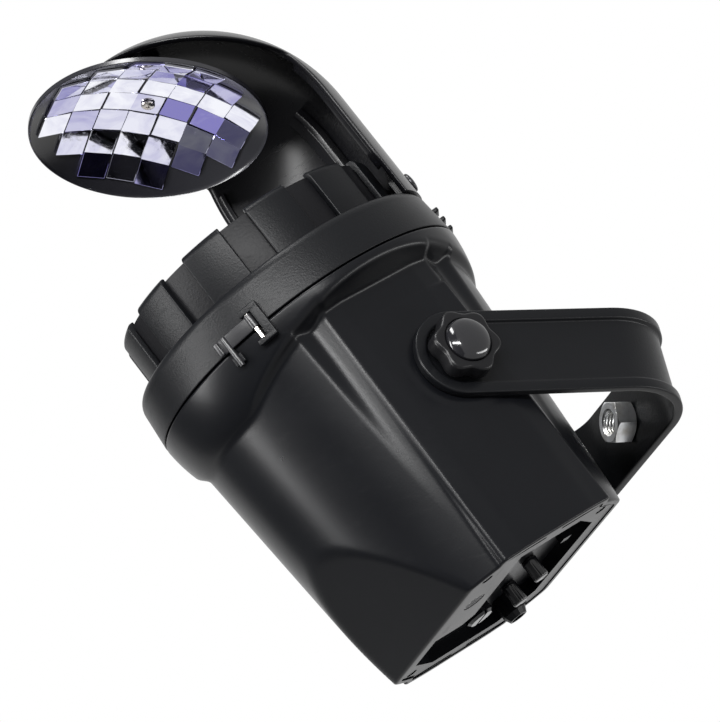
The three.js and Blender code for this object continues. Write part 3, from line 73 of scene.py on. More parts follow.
# Studio: a pale floor below the lamp, a white surround, and softboxes placed from the picture's axes,
# above, to both sides and low behind, so that the black mouldings carry long soft highlights.
def node(tree, kind, inputs=None, **settings):
    """Adds a shader or geometry node, with its settings, its values and the sockets that feed it."""
    made = tree.nodes.new(kind)
    for name, value in settings.items():
        setattr(made, name, value)
    for name, value in (inputs or {}).items():
        if isinstance(value, bpy.types.NodeSocket):
            tree.links.new(value, made.inputs[name])
        else:
            made.inputs[name].default_value = value
    return made


def reckoned(tree, operation, *values, **settings):
    """What one step of arithmetic makes of sockets and numbers."""
    return node(tree, "ShaderNodeMath", dict(enumerate(values)), operation=operation, **settings).outputs[0]


def seen_straight(tree):
    """One for rays that show the surround itself: from the camera, off gloss and through glass."""
    path = node(tree, "ShaderNodeLightPath").outputs
    straight = reckoned(tree, "MAXIMUM", path["Is Camera Ray"], path["Is Glossy Ray"])
    return reckoned(tree, "MAXIMUM", straight, path["Is Transmission Ray"])


def white_surround(strength):
    world = bpy.data.worlds.new("surround")
    world.use_nodes = True
    tree = world.node_tree
    tree.nodes.clear()
    lighting = node(tree, "ShaderNodeBackground", {"Color": (0.93, 0.96, 1, 1), "Strength": strength})
    backdrop = node(tree, "ShaderNodeBackground", {"Color": (1, 1, 1, 1), "Strength": 1})
    mix = node(tree, "ShaderNodeMixShader",
               {0: seen_straight(tree), 1: lighting.outputs[0], 2: backdrop.outputs[0]})
    node(tree, "ShaderNodeOutputWorld", {"Surface": mix.outputs[0]})
    scene.world = world


def softbox(name, right, up, back, width, height, power):
    data = bpy.data.lights.new(name, "AREA")
    data.shape = "RECTANGLE"
    data.size = width
    data.size_y = height
    data.energy = power
    direction = right * picture_right + up * picture_up + back * picture_back
    facing = direction.to_track_quat("Z", "Y").to_matrix().to_4x4()
    light = bpy.data.objects.new(name, data)
    light.matrix_world = Matrix.Translation(lamp_middle + direction) @ facing
    scene.collection.objects.link(light)


lamp_middle = (cad_box[0] + cad_box[1]) / 2
white_surround(0.16)
softbox("key", right=-0.6, up=1.3, back=0.3, width=0.9, height=0.28, power=22)
softbox("front strip", right=-0.35, up=0.55, back=1.2, width=0.14, height=1.1, power=40)
softbox("side", right=1.4, up=-0.1, back=0.3, width=0.22, height=1.2, power=12)
softbox("fill", right=-1.3, up=-0.2, back=0.5, width=0.3, height=1.2, power=30)

floor_level = -1.6
floor_half = 4
floor_glow = 0.5
floor_mesh = bpy.data.meshes.new("floor")
floor_signs = ((-1, -1), (1, -1), (1, 1), (-1, 1))
floor_corners = [(x * floor_half, y * floor_half, floor_level) for x, y in floor_signs]
floor_mesh.from_pydata(floor_corners, [], [(0, 1, 2, 3)])
floor = bpy.data.objects.new("floor", floor_mesh)
scene.collection.objects.link(floor)
floor_finish = bpy.data.materials.new("pale_floor")
floor_finish.use_nodes = True
floor_tree = floor_finish.node_tree
floor_shader = floor_tree.nodes["Principled BSDF"]
floor_shader.inputs["Base Color"].default_value = (0.82, 0.82, 0.83, 1)
floor_shader.inputs["Roughness"].default_value = 0.9
floor_shader.inputs["Emission Color"].default_value = (1, 1, 1, 1)
floor_seen = node(floor_tree, "ShaderNodeLightPath").outputs["Is Camera Ray"]
floor_light = reckoned(floor_tree, "MULTIPLY", floor_seen, floor_glow)
floor_tree.links.new(floor_light, floor_shader.inputs["Emission Strength"])
floor_mesh.materials.append(floor_finish)


# Rear housing: the big moulding with bevelled flanks, scooped shoulders and flutes, in satin black
# polymer. The mould's spark texture and slow flow marks show in its gloss; it is one wall thick.
mm = 0.001
yoke_reach = 109.5
nose_down = math.radians(25.8)
pivot_behind = 52.8
pivot_above = 9.84
lamp_turn = Matrix.Rotation(math.pi / 2 + nose_down, 4, "X")
lamp_space = (Matrix.Translation((0, 0, -yoke_reach)) @ lamp_turn
              @ Matrix.Translation((0, -pivot_above, pivot_behind)))

housing_radius = 75
housing_length = 134.2
shoulder_depth = 23.6
shoulder_radius = 68.5
shoulder_fullness = 1.6
barrel_draft = math.radians(4)
housing_wall = 2.8
flank_rear = 58.4
flank_draft = math.radians(1.2)
flank_flat = 19.5
ridge_half = 30.6
ridge_drop = 1.4
ridge_round = 1
flank_front = 7.5
recess_start = 11
recess_angle = math.radians(67.4)
scoop_distance = 72.5
scoop_tilt = math.radians(20.5)
scoop_turn = math.radians(29.6)
flute_radius = 7
flute_across = 62
flute_down = 37
facet_slope = math.radians(23.2)
belly_rear = 42.1
roof_rear = 45.8
pad_half = 22
pad_face = 60.5
pad_front = 22
joint_gap = 0.3
spigot_radius = 70.4
spigot_wall = 2.5
spigot_band = 3.5
spigot_reach = 4
stud_hole = 4.5


def soft_min(a, b, blend):
    """The lesser of two distances, with a fillet of about the blend's size where they cross."""
    share = np.clip(0.5 + 0.5 * (b - a) / blend, 0, 1)
    return b + (a - b) * share - blend * share * (1 - share)


def soft_max(a, b, blend):
    return -soft_min(-a, -b, blend)


def housing_distance(x, y, z):
    """Distance outside the housing's outer form, in millimetres of the lamp's own frame."""
    across, up, reach = np.abs(x), np.abs(y), np.hypot(x, y)
    share = np.clip(-z / shoulder_depth, 0, 1)
    fullness = (1 - share ** shoulder_fullness) ** (1 / shoulder_fullness)
    shoulder = shoulder_radius + (housing_radius - shoulder_radius) * fullness
    slope = 1 / math.tan(recess_angle)
    behind = -(z + recess_start - (across - flank_rear) * slope) / math.hypot(1, slope)
    scoop = (math.cos(scoop_tilt) * (math.cos(scoop_turn) * across + math.sin(scoop_turn) * up)
             - math.sin(scoop_tilt) * z - scoop_distance)
    cup = soft_max(soft_max(reach - shoulder, -(z + shoulder_depth), 1), behind, 2)
    cup = soft_max(cup, scoop, 2.5)
    barrel = reach - shoulder_radius - (z + shoulder_depth) * math.tan(barrel_draft)
    widening = (flank_rear + (z + housing_length) * math.tan(flank_draft)) / flank_rear
    bevel = np.clip((up - flank_flat) / (ridge_half - ridge_round - flank_flat), 0, 1)
    flank = across / widening - flank_rear + ridge_drop * bevel
    inside_ridge = up - ridge_half
    barrel = soft_max(barrel, -soft_max(-flank, inside_ridge, 1), 1.5)
    box = soft_max(soft_max(flank, inside_ridge, 2), z + flank_front, 1.5)
    form = soft_min(soft_min(cup, barrel, 2.5), box, 1.5)
    flute = np.hypot(across - flute_across, up - flute_down) - flute_radius
    form = soft_max(form, -soft_max(flute, -behind, 1.5), 3)
    pad = np.hypot(np.minimum(z + pivot_behind, 0), y - pivot_above) - pad_half
    pad_end = soft_max(across - pad_face, up - ridge_half + ridge_round, 1)
    form = soft_min(form, soft_max(soft_max(pad, z + pad_front, 2), pad_end, 0.8), 1.2)
    edge = np.where(y < 0, belly_rear, roof_rear) + (z + housing_length) * math.tan(facet_slope)
    return soft_max(form, (up - edge) * math.cos(facet_slope), 1.2)


def housing_loops(depths, insets, angles):
    """Loops of points where rays from the lamp's axis meet the form, set in by the insets."""
    z = depths[:, None] + 0 * angles[None, :]
    cosine, sine = np.cos(angles), np.sin(angles)
    low, high = np.full(z.shape, 25.0), np.full(z.shape, 90.0)
    for _ in range(26):
        middle = (low + high) / 2
        outside = housing_distance(middle * cosine, middle * sine, z) + insets[:, None] > 0
        high = np.where(outside, middle, high)
        low = np.where(outside, low, middle)
    return np.stack([low * cosine, low * sine, z], axis=-1)


def circle_loops(pairs, angles):
    """Loops about the axis through [radius, height] pairs."""
    pairs = np.array(pairs, float)
    radius, height = pairs[:, 0, None], pairs[:, 1, None]
    return np.stack([radius * np.cos(angles), radius * np.sin(angles), height + 0 * angles], axis=-1)


def shell(loops, closed=True, capped=False):
    """Points and faces through loops of points. A closed shell joins its last loop to its first."""
    rows, columns = loops.shape[:2]
    index = np.arange(rows * columns).reshape(rows, columns)
    upper = np.roll(index, -1, axis=0) if closed else index[1:]
    lower = index if closed else index[:-1]
    faces = np.stack([lower, np.roll(lower, -1, axis=1), np.roll(upper, -1, axis=1), upper], axis=-1)
    faces = faces.reshape(-1, 4).tolist()
    if capped:
        faces += [index[0].tolist(), index[-1][::-1].tolist()]
    return loops.reshape(-1, 3), faces


def make_piece(name, shells, place, finish, crease=32):
    """One mesh object of closed shells in millimetres of the given frame, put in place in metres."""
    mesh = bpy.data.meshes.new(name)
    points, faces = [], []
    for shell_points, shell_faces in shells:
        start = sum(len(part) for part in points)
        points.append(shell_points)
        faces += [[start + corner for corner in face] for face in shell_faces]
    mesh.from_pydata((np.concatenate(points) * mm).tolist(), [], faces)
    mesh.transform(metre_place(place))
    close_seams(mesh)
    mesh.shade_smooth()
    mesh.set_sharp_from_angle(angle=math.radians(crease))
    mesh.materials.append(finish)
    made = bpy.data.objects.new(name, mesh)
    scene.collection.objects.link(made)
    return made


def metre_place(place):
    """A frame given in millimetres, as one whose shift is in metres."""
    return Matrix.Translation(place.to_translation() * mm) @ place.to_3x3().to_4x4()


def close_seams(mesh):
    """Merges the doubles at seams and poles, and turns every shell's faces outward."""
    work = bmesh.new()
    work.from_mesh(mesh)
    bmesh.ops.remove_doubles(work, verts=work.verts, dist=2e-6)
    bmesh.ops.recalc_face_normals(work, faces=work.faces)
    work.to_mesh(mesh)
    work.free()


def settle(made):
    """Turns what a piece's modifiers make into its plain mesh."""
    bpy.context.view_layer.update()
    graph = bpy.context.evaluated_depsgraph_get()
    mesh = bpy.data.meshes.new_from_object(
        made.evaluated_get(graph), preserve_all_data_layers=True, depsgraph=graph)
    made.modifiers.clear()
    made.data = mesh


def cut_away(made, tool):
    """Takes the tool's form out of a piece, and removes the tool."""
    cut = made.modifiers.new("cut", "BOOLEAN")
    cut.operation, cut.solver, cut.object = "DIFFERENCE", "EXACT", tool
    settle(made)
    bpy.data.objects.remove(tool)


def full_turn(steps):
    return np.linspace(0, 2 * math.pi, steps, endpoint=False)


def bore(made, radius, start, end, place):
    """Drills a hole along the z axis of the given frame."""
    loops = circle_loops([[radius, start], [radius, end]], full_turn(48))
    drill = make_piece("drill", [shell(loops, closed=False, capped=True)], place, made.data.materials[0])
    cut_away(made, drill)
    made.data.shade_smooth()
    made.data.set_sharp_from_angle(angle=math.radians(32))


def shared_effect(name, inputs, outputs):
    """An empty node group with named sockets, and its two ends."""
    tree = bpy.data.node_groups.new(name, "ShaderNodeTree")
    for label, kind, value in inputs:
        tree.interface.new_socket(name=label, in_out="INPUT", socket_type=kind).default_value = value
    for label, kind in outputs:
        tree.interface.new_socket(name=label, in_out="OUTPUT", socket_type=kind)
    return tree, node(tree, "NodeGroupInput").outputs, node(tree, "NodeGroupOutput").inputs


def noise(tree, place, scale, detail, roughness=0.5, distortion=0):
    """Soft noise over a piece, the scale being its spots to the metre."""
    return node(tree, "ShaderNodeTexNoise", {
        "Vector": place, "Scale": scale, "Detail": detail, "Roughness": roughness,
        "Distortion": distortion}).outputs[0]


def ranged(tree, value, low, high, to_low=0, to_high=1):
    """A value carried from one range to another and held within it."""
    return node(tree, "ShaderNodeMapRange", {
        "Value": value, "From Min": low, "From Max": high, "To Min": to_low, "To Max": to_high}).outputs[0]


def blended(tree, share, first, second, blend="MIX"):
    """Two colours mixed or multiplied, by a share."""
    mix = node(tree, "ShaderNodeMix", {0: share, 6: first, 7: second}, data_type="RGBA", blend_type=blend)
    return mix.outputs[2]


def give_out(tree, made, colour, roughness, height):
    """Joins the three things that every shared surface effect gives to its sockets."""
    for label, value in (("Colour", colour), ("Roughness", roughness), ("Height", height)):
        tree.links.new(value, made[label])


plain, tint = "NodeSocketFloat", "NodeSocketColor"
surface_sockets = [("Colour", tint), ("Roughness", plain), ("Height", plain)]


def moulded_skin():
    """What a black moulding's surface has: spark texture, cloudy flow in its gloss, and faint rubs."""
    tree, given, made = shared_effect(
        "moulded_skin",
        [("Colour", tint, (0.02, 0.02, 0.02, 1)), ("Roughness", plain, 0.4), ("Grain Scale", plain, 1500),
         ("Clouding", plain, 0.08), ("Rubs", plain, 0.06)], surface_sockets)
    place = node(tree, "ShaderNodeTexCoord").outputs["Object"]
    grain = noise(tree, place, given["Grain Scale"], 3)
    cloud = noise(tree, place, 18, 4, distortion=0.6)
    stretch = node(tree, "ShaderNodeMapping",
                   {"Vector": place, "Rotation": (0.4, 0.3, 0.9), "Scale": (1, 9, 2)})
    rubs = noise(tree, stretch.outputs[0], 70, 6, 0.7)
    cloudy = reckoned(tree, "SUBTRACT", cloud, 0.5)
    lift = reckoned(tree, "MULTIPLY_ADD", cloudy, given["Clouding"], given["Roughness"])
    rough = reckoned(tree, "MULTIPLY_ADD", ranged(tree, rubs, 0.56, 0.72), given["Rubs"], lift)
    tone = ranged(tree, cloud, 0, 1, 0.82, 1.18)
    give_out(tree, made, blended(tree, 1.0, given["Colour"], tone, "MULTIPLY"), rough, grain)
    return tree


moulded_skin_group = moulded_skin()


def empty_finish(name):
    """A new material, and its tree of nodes with nothing in it."""
    finish = bpy.data.materials.new(name)
    finish.use_nodes = True
    finish.node_tree.nodes.clear()
    return finish, finish.node_tree


def skinned(name, effect, values, strength, distance, constants):
    """A material whose colour, roughness and bump come from a shared effect with its own values."""
    finish, tree = empty_finish(name)
    skin = node(tree, "ShaderNodeGroup", node_tree=effect)
    for label, value in values.items():
        skin.inputs[label].default_value = value
    bump = node(tree, "ShaderNodeBump", {
        "Strength": strength, "Distance": distance, "Height": skin.outputs["Height"]})
    shader = node(tree, "ShaderNodeBsdfPrincipled", {
        "Base Color": skin.outputs["Colour"], "Roughness": skin.outputs["Roughness"],
        "Normal": bump.outputs[0], **constants})
    node(tree, "ShaderNodeOutputMaterial", {"Surface": shader.outputs[0]})
    return finish


def moulding(name, colour, roughness, gloss, grain_scale, grain_strength, clouding=0.1, rubs=0.06):
    """A moulded polymer. The gloss is its specular level, and the grain's strength is its bump's."""
    values = {"Colour": (*colour, 1), "Roughness": roughness, "Grain Scale": grain_scale,
              "Clouding": clouding, "Rubs": rubs}
    return skinned(name, moulded_skin_group, values, grain_strength, 0.0002, {"Specular IOR Level": gloss})


def housing_angles(even, dense):
    """Angles round the axis, closer together over the ridges and flutes of all four corners."""
    angles = [full_turn(even)]
    for turn in (0, math.pi):
        for side in (1, -1):
            angles.append(turn + side * np.linspace(math.radians(21), math.radians(43), dense))
    return np.unique(np.round(np.concatenate(angles) % (2 * math.pi), 5))


def pivot_frame(side):
    """A frame on the tilt axis whose z axis points out to the near side (1) or the far side (-1)."""
    middle = lamp_space @ Matrix.Translation((0, pivot_above, -pivot_behind))
    return middle @ Matrix.Rotation(side * math.pi / 2, 4, "Y")


def edge_round(radius, steps):
    """Distances from an edge, and how far the surface falls there, for a quarter round."""
    angles = np.linspace(0, math.pi / 2, steps)
    return radius * (1 - np.sin(angles))[::-1], radius * (1 - np.cos(angles))[::-1]


satin_black = moulding("satin_black", (0.0024, 0.0026, 0.0033), roughness=0.29, gloss=0.12,
                       grain_scale=1400, grain_strength=0.1)
angles = housing_angles(288, 52)
along, fall = edge_round(0.9, 5)
front, rear = -joint_gap, -housing_length
main_depths = np.concatenate([np.linspace(-1.4, -25, 40), np.linspace(-26, -74, 42),
                              np.linspace(-76, -133, 34)])
outer_depths = np.concatenate([front - along, main_depths, (rear + along)[::-1]])
outer_insets = np.concatenate([fall, 0 * main_depths, fall[::-1]])
inner_depths = np.linspace(rear, -spigot_band, 26)
outer = housing_loops(outer_depths, outer_insets, angles)
inner = housing_loops(inner_depths, np.full(inner_depths.shape, float(housing_wall)), angles)
spigot_inner = spigot_radius - spigot_wall
spigot = circle_loops([[spigot_inner, -spigot_band], [spigot_inner, spigot_reach],
                       [spigot_radius, spigot_reach], [spigot_radius, front]], angles)
housing_shell = shell(np.concatenate([outer, inner, spigot]))
housing = make_piece("housing_shell", [housing_shell], lamp_space, satin_black)
bore(housing, stud_hole, -housing_radius, housing_radius, pivot_frame(1))
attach(housing, "housing")
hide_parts("rear_housing")


# Yoke: a strap of black moulded polymer with a raised rib all round its outer face, bent over twice.
# Its round feet turn on the lamp's two studs, and the clamp bolt goes through its crossbar.
yoke_half_span = 65.4
yoke_width = 38
yoke_thickness = 4
yoke_rib_height = 1.8
yoke_rib_width = 5
yoke_bend = 36
clamp_hole = 5.4


def softened(corners, radius, closed=False, steps=4):
    """A run of corners with each one rounded, by no more than half of its shorter edge."""
    corners = np.array(corners, float)
    points = [] if closed else [corners[0]]
    count = len(corners)
    for k in range(0 if closed else 1, count if closed else count - 1):
        corner, before, after = corners[k], corners[k - 1], corners[(k + 1) % count]
        reach = min(radius, np.linalg.norm(before - corner) * 0.49, np.linalg.norm(after - corner) * 0.49)
        start = corner + (before - corner) / np.linalg.norm(before - corner) * reach
        end = corner + (after - corner) / np.linalg.norm(after - corner) * reach
        for share in np.linspace(0, 1, steps + 1):
            points.append(start * (1 - share) ** 2 + corner * 2 * share * (1 - share) + end * share ** 2)
    if not closed:
        points.append(corners[-1])
    return np.array(points)


def on_yoke(run, across, depth):
    """Where a place on the flat strap comes to once it is bent, the depth being below its outer face."""
    top = yoke_half_span - yoke_bend
    distance = np.abs(run)
    angle = np.clip((distance - top) / yoke_bend, 0, math.pi / 2)
    beyond = np.maximum(distance - top - yoke_bend * math.pi / 2, 0)
    x = np.minimum(distance, top) + (yoke_bend - depth) * np.sin(angle)
    z = -yoke_bend + (yoke_bend - depth) * np.cos(angle) - beyond
    return np.stack([np.sign(run) * x, across, z], axis=-1)


def yoke_loops():
    half = yoke_width / 2
    floor_edge = yoke_rib_width + 0.3
    section = [[half, yoke_rib_height], [floor_edge, yoke_rib_height], [yoke_rib_width - 0.2, 0], [0, 0],
               [0, yoke_thickness], [half, yoke_thickness]]
    section = softened(section, 0.9)
    foot = yoke_half_span - yoke_bend + yoke_bend * math.pi / 2 + yoke_reach - yoke_bend
    run = np.linspace(-foot, foot, 161)
    turn = np.linspace(math.pi / 2, -math.pi / 2, 33)[1:-1]
    loops = []
    for inset, depth in section:
        radius = half - inset
        cosine, sine = radius * np.cos(turn), radius * np.sin(turn)
        flat_run = np.concatenate([run, foot + cosine, run[::-1], -foot - cosine])
        across = np.concatenate([0 * run + radius, sine, 0 * run - radius, -sine])
        loops.append(on_yoke(flat_run, across, depth))
    return np.array(loops)


yoke_finish = moulding("texture_black", (0.0028, 0.003, 0.0036), roughness=0.34, gloss=0.12,
                       grain_scale=1100, grain_strength=0.3)
upright = Matrix.Identity(4)
yoke = make_piece("yoke_strap", [shell(yoke_loops(), closed=False)], upright, yoke_finish)
bore(yoke, clamp_hole, -2 * yoke_thickness, yoke_thickness, upright)
yoke_pivot = Matrix.Translation((0, 0, -yoke_reach)) @ Matrix.Rotation(math.pi / 2, 4, "Y")
bore(yoke, stud_hole, -2 * yoke_half_span, 2 * yoke_half_span, yoke_pivot)
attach(yoke, "yoke")
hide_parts("yoke")


# Clamp nut: a steel hexagon nut, cold formed, chamfered on both faces and zinc plated. It sits under
# the crossbar, and its cut thread takes the bolt of the clamp that the lamp hangs from.
nut_flats = 17
nut_height = 9.2
nut_bore = 5
nut_top = -yoke_thickness - joint_gap
thread_pitch = 1.5
thread_depth = 0.45


def outline_loops(outlines, heights, angles):
    """Loops about the axis, each given by its radii and its height."""
    radius, height = np.array(outlines), np.array(heights)[:, None]
    return np.stack([radius * np.cos(angles), radius * np.sin(angles), height + 0 * angles], axis=-1)


def nut_loops():
    angles = full_turn(144)
    flat = nut_flats / 2
    corner = flat / math.cos(math.pi / 6)
    hexagon = flat / np.cos((angles + math.pi / 6) % (math.pi / 3) - math.pi / 6)
    chamfer = (corner - flat) * 0.6
    outlines, heights = [], []

    def add(radius, height):
        outlines.append(radius)
        heights.append(height)

    add(0 * angles + nut_bore + 0.9, nut_top)
    for share in np.linspace(0, 1, 6):
        limit = flat - 0.1 + (corner - flat + 0.1) * share
        add(np.minimum(hexagon, limit), nut_top - chamfer * share)
    for share in np.linspace(1, 0, 6):
        limit = flat - 0.1 + (corner - flat + 0.1) * share
        add(np.minimum(hexagon, limit), nut_top - nut_height + chamfer * share)
    add(0 * angles + nut_bore + 0.9, nut_top - nut_height)
    for height in np.arange(0.6, nut_height - 0.5, thread_pitch / 8):
        phase = (height / thread_pitch - angles / (2 * math.pi)) % 1
        add(nut_bore + thread_depth * np.abs(2 * phase - 1), nut_top - nut_height + height)
    return outline_loops(outlines, heights, angles)


def plating():
    """Bright plate over turned metal: fine scratches, a cloudy passivation, and a worn roughness."""
    tree, given, made = shared_effect(
        "plated_metal",
        [("Colour", tint, (0.7, 0.7, 0.7, 1)), ("Stain", tint, (0.5, 0.5, 0.45, 1)),
         ("Roughness", plain, 0.3), ("Scratch Scale", plain, 300)], surface_sockets)
    place = node(tree, "ShaderNodeTexCoord").outputs["Object"]
    cloud = noise(tree, place, 160, 5)
    stretch = node(tree, "ShaderNodeMapping", {"Vector": place, "Scale": (1, 1, 14)})
    lines = noise(tree, stretch.outputs[0], given["Scratch Scale"], 2)
    colour = blended(tree, ranged(tree, cloud, 0.45, 0.7), given["Colour"], given["Stain"])
    spread = reckoned(tree, "MULTIPLY_ADD", cloud, 0.35, given["Roughness"])
    give_out(tree, made, colour, reckoned(tree, "SUBTRACT", spread, 0.17), lines)
    return tree


plating_group = plating()


def metal(name, colour, stain, roughness, scratch_scale=300, scratch_strength=0.15):
    """A plated or bare metal, the stain being the colour of its cloudy places."""
    values = {"Colour": (*colour, 1), "Stain": (*stain, 1), "Roughness": roughness,
              "Scratch Scale": scratch_scale}
    return skinned(name, plating_group, values, scratch_strength, 0.0001, {"Metallic": 1.0})


zinc = metal("zinc_plate", (0.62, 0.63, 0.64), stain=(0.42, 0.41, 0.38), roughness=0.33)
nut = make_piece("hexagon_nut", [shell(nut_loops())], upright, zinc, crease=24)
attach(nut, "yoke")
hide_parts("clamp_nut")


# Clamp knobs: six-lobed knobs of black moulded polymer, which clamp the yoke's arms on the lamp's two
# studs. A glossy domed cap is pressed into the face of each one and hides the end of its stud.
knob_radius = 13.7
knob_lobe = 1.1
knob_lobes = 6
knob_hub = 9.5
knob_foot = yoke_half_span - yoke_rib_height + joint_gap
knob_skirt = knob_foot + 2.4
knob_top = knob_skirt + 8.6
knob_bevel = 1.6
knob_bore_top = knob_foot + 8
cap_radius = 9.6
cap_height = 4.4
cap_sunk = 1
stud_radius = 3.9


def turned(corners, radius=0.3, steps=96, closed=True):
    """A turned shell from [radius, height] corners, rounded, about the axis."""
    profile = softened(corners, radius, closed=closed)
    return shell(circle_loops(profile, full_turn(steps)), closed=closed)


def knob_shell():
    """A star knob from its bore, round its hub, lobes and rounded edges, to the socket for its cap."""
    angles = full_turn(144)
    lobed = knob_radius + knob_lobe * np.cos(knob_lobes * angles)
    bore_radius = stud_radius + joint_gap
    socket = cap_radius + joint_gap
    hub = [[bore_radius, knob_bore_top], [bore_radius, knob_foot], [knob_hub, knob_foot],
           [knob_hub, knob_skirt]]
    along, fall = edge_round(knob_bevel, 6)
    edge = lobed - fall[:, None]
    loops = [circle_loops(softened(hub, 0.4), angles),
             outline_loops(edge, knob_skirt + along, angles),
             outline_loops(edge[::-1], (knob_top - along)[::-1], angles),
             circle_loops([[socket + 0.3, knob_top], [socket, knob_top - 0.3], [socket, knob_top - cap_sunk],
                           [0, knob_top - cap_sunk], [0, knob_bore_top]], angles)]
    return shell(np.concatenate(loops), closed=True)


def dome(radius, foot, edge, height, steps=10):
    """A disc with a domed face: its flat foot, the edge where the dome starts, and the dome's height."""
    corners = [[0, foot], [radius, foot]]
    for angle in np.linspace(0, math.pi / 2, steps):
        corners.append([radius * math.cos(angle), edge + height * math.sin(angle)])
    corners[-1][0] = 0
    return shell(circle_loops(corners, full_turn(96)), closed=False)


knob_black = moulding("knob_black", (0.0035, 0.0035, 0.004), roughness=0.32, gloss=0.16, grain_scale=1300,
                      grain_strength=0.2)
gloss_black = moulding("gloss_black", (0.006, 0.006, 0.007), roughness=0.12, gloss=0.4, grain_scale=900,
                       grain_strength=0.03, clouding=0.04, rubs=0.05)
cap_seat = knob_top - cap_sunk + joint_gap
for label, side in (("near", 1), ("far", -1)):
    place = pivot_frame(side)
    knob = make_piece(f"{label}_star_knob", [knob_shell()], place, knob_black)
    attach(knob, f"{label}_knob")
    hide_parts(f"{label}_clamp_knob")
    cap_shell = dome(cap_radius, cap_seat, knob_top, cap_height)
    cap = make_piece(f"{label}_domed_cap", [cap_shell], place, gloss_black)
    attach(cap, f"{label}_knob")
    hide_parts(f"{label}_knob_cap")


# Front ring: the black moulding that holds the crown and the hood, lapping the housing's spigot. Its
# three grip bars are for the fingers that pull it off, and two lugs inside carry the hood's screws.
ring_length = 20
ring_wall = 3
ring_bore = 55
ring_rear = 73.7
ring_front = 71.5
ring_shoulder = 15.75
lug_outer = 70.7
lug_thickness = 4.4
lug_length = 13
lug_half = math.radians(8)
hood_screw_angles = (math.radians(60), math.radians(120))
hood_screw_at = 29.5
hood_screw_hole = 2.2
grip_angle = math.radians(62)
grip_first = 3.4
grip_pitch = 4.9
grip_count = 3
grip_reach = housing_radius + 0.4
grip_size = (2.8, 9, 2)


def slab(size, bevel, steps=3):
    """A block with rounded edges, centred on the origin, in metres, as a mesh to be copied."""
    work = bmesh.new()
    bmesh.ops.create_cube(work, size=1)
    bmesh.ops.scale(work, vec=Vector(size) * mm, verts=work.verts)
    bmesh.ops.bevel(work, geom=work.edges[:], offset=bevel * mm, segments=steps, profile=0.5, affect="EDGES")
    mesh = bpy.data.meshes.new("slab")
    work.to_mesh(mesh)
    work.free()
    mesh.shade_smooth()
    return mesh


def copying_tree():
    """Puts a copy of one object on every point, turned as the point says, as real geometry."""
    tree = bpy.data.node_groups.new("copies", "GeometryNodeTree")
    for label, kind in (("Points", "NodeSocketGeometry"), ("Original", "NodeSocketObject"),
                        ("Finish", "NodeSocketMaterial")):
        tree.interface.new_socket(name=label, in_out="INPUT", socket_type=kind)
    tree.interface.new_socket(name="Copies", in_out="OUTPUT", socket_type="NodeSocketGeometry")
    given = node(tree, "NodeGroupInput").outputs
    original = node(tree, "GeometryNodeObjectInfo", {"Object": given["Original"]}).outputs["Geometry"]
    aim = node(tree, "GeometryNodeInputNamedAttribute", {"Name": "turn"}, data_type="FLOAT_VECTOR").outputs[0]
    placed = node(tree, "GeometryNodeInstanceOnPoints",
                  {"Points": given["Points"], "Instance": original, "Rotation": aim})
    real = node(tree, "GeometryNodeRealizeInstances", {"Geometry": placed.outputs[0]})
    coloured = node(tree, "GeometryNodeSetMaterial",
                    {"Geometry": real.outputs[0], "Material": given["Finish"]})
    node(tree, "NodeGroupOutput", {"Copies": coloured.outputs[0]})
    return tree


copies = copying_tree()


def copied(name, mesh, places, finish, tones=None):
    """One mesh of a copy at each frame (in millimetres), made by the shared tree of geometry nodes."""
    points = bpy.data.meshes.new(name)
    metres = [metre_place(place) for place in places]
    points.from_pydata([place.to_translation() for place in metres], [], [])
    turns = [value for place in metres for value in place.to_euler()]
    points.attributes.new("turn", "FLOAT_VECTOR", "POINT").data.foreach_set("vector", turns)
    if tones is not None:
        points.attributes.new("tone", "FLOAT_VECTOR", "POINT").data.foreach_set("vector", np.ravel(tones))
    original = bpy.data.objects.new("original", mesh)
    made = bpy.data.objects.new(name, points)
    scene.collection.objects.link(original)
    scene.collection.objects.link(made)
    repeat = made.modifiers.new("copies", "NODES")
    repeat.node_group = copies
    sockets = {item.name: item.identifier for item in copies.interface.items_tree}
    repeat[sockets["Original"]] = original
    repeat[sockets["Finish"]] = finish
    settle(made)
    bpy.data.objects.remove(original)
    return made


def round_lamp(angle, height, radius=0):
    """A frame whose x axis points out from the lamp's axis at an angle, at a height along the beam."""
    return lamp_space @ Matrix.Rotation(angle, 4, "Z") @ Matrix.Translation((radius, 0, height))


def outward(angle, height):
    """A frame whose z axis points out from the lamp's axis, for holes and screws through round walls."""
    return round_lamp(angle, height) @ Matrix.Rotation(math.pi / 2, 4, "Y")


def sweep_stops(first, last, bevel, reach, steps):
    """The angles of a swept block's sections, and how far each is set in to round the block's ends."""
    along, fall = edge_round(bevel, 4)
    ends = np.concatenate([along, [bevel]]) / reach
    insets = np.concatenate([fall, [0]])
    between = np.linspace(first + 2 * bevel / reach, last - 2 * bevel / reach, steps)
    angles = np.concatenate([first + ends, between, (last - ends)[::-1]])
    return zip(angles, np.concatenate([insets, 0 * between, insets[::-1]]))


def stood_at(section, angle):
    """A section of [radius, height] points, stood up at an angle round the axis."""
    radius, height = section[:, 0], section[:, 1]
    return np.stack([radius * math.cos(angle), radius * math.sin(angle), height], axis=-1)


def arc_block(inner, outer, start, end, first, last, bevel=0.5, steps=24):
    """A closed block between two radii and two angles, its section rounded and its ends bevelled."""
    loops = []
    reach, middle = (inner + outer) / 2, (start + end) / 2
    half_depth, half_length = (outer - inner) / 2, (end - start) / 2
    for angle, inset in sweep_stops(first, last, bevel, reach, steps):
        low, high = half_depth - inset, half_length - inset
        corners = softened([[-low, -high], [low, -high], [low, high], [-low, high]], bevel, closed=True)
        loops.append(stood_at(corners + [reach, middle], angle))
    return shell(np.array(loops), closed=False, capped=True)


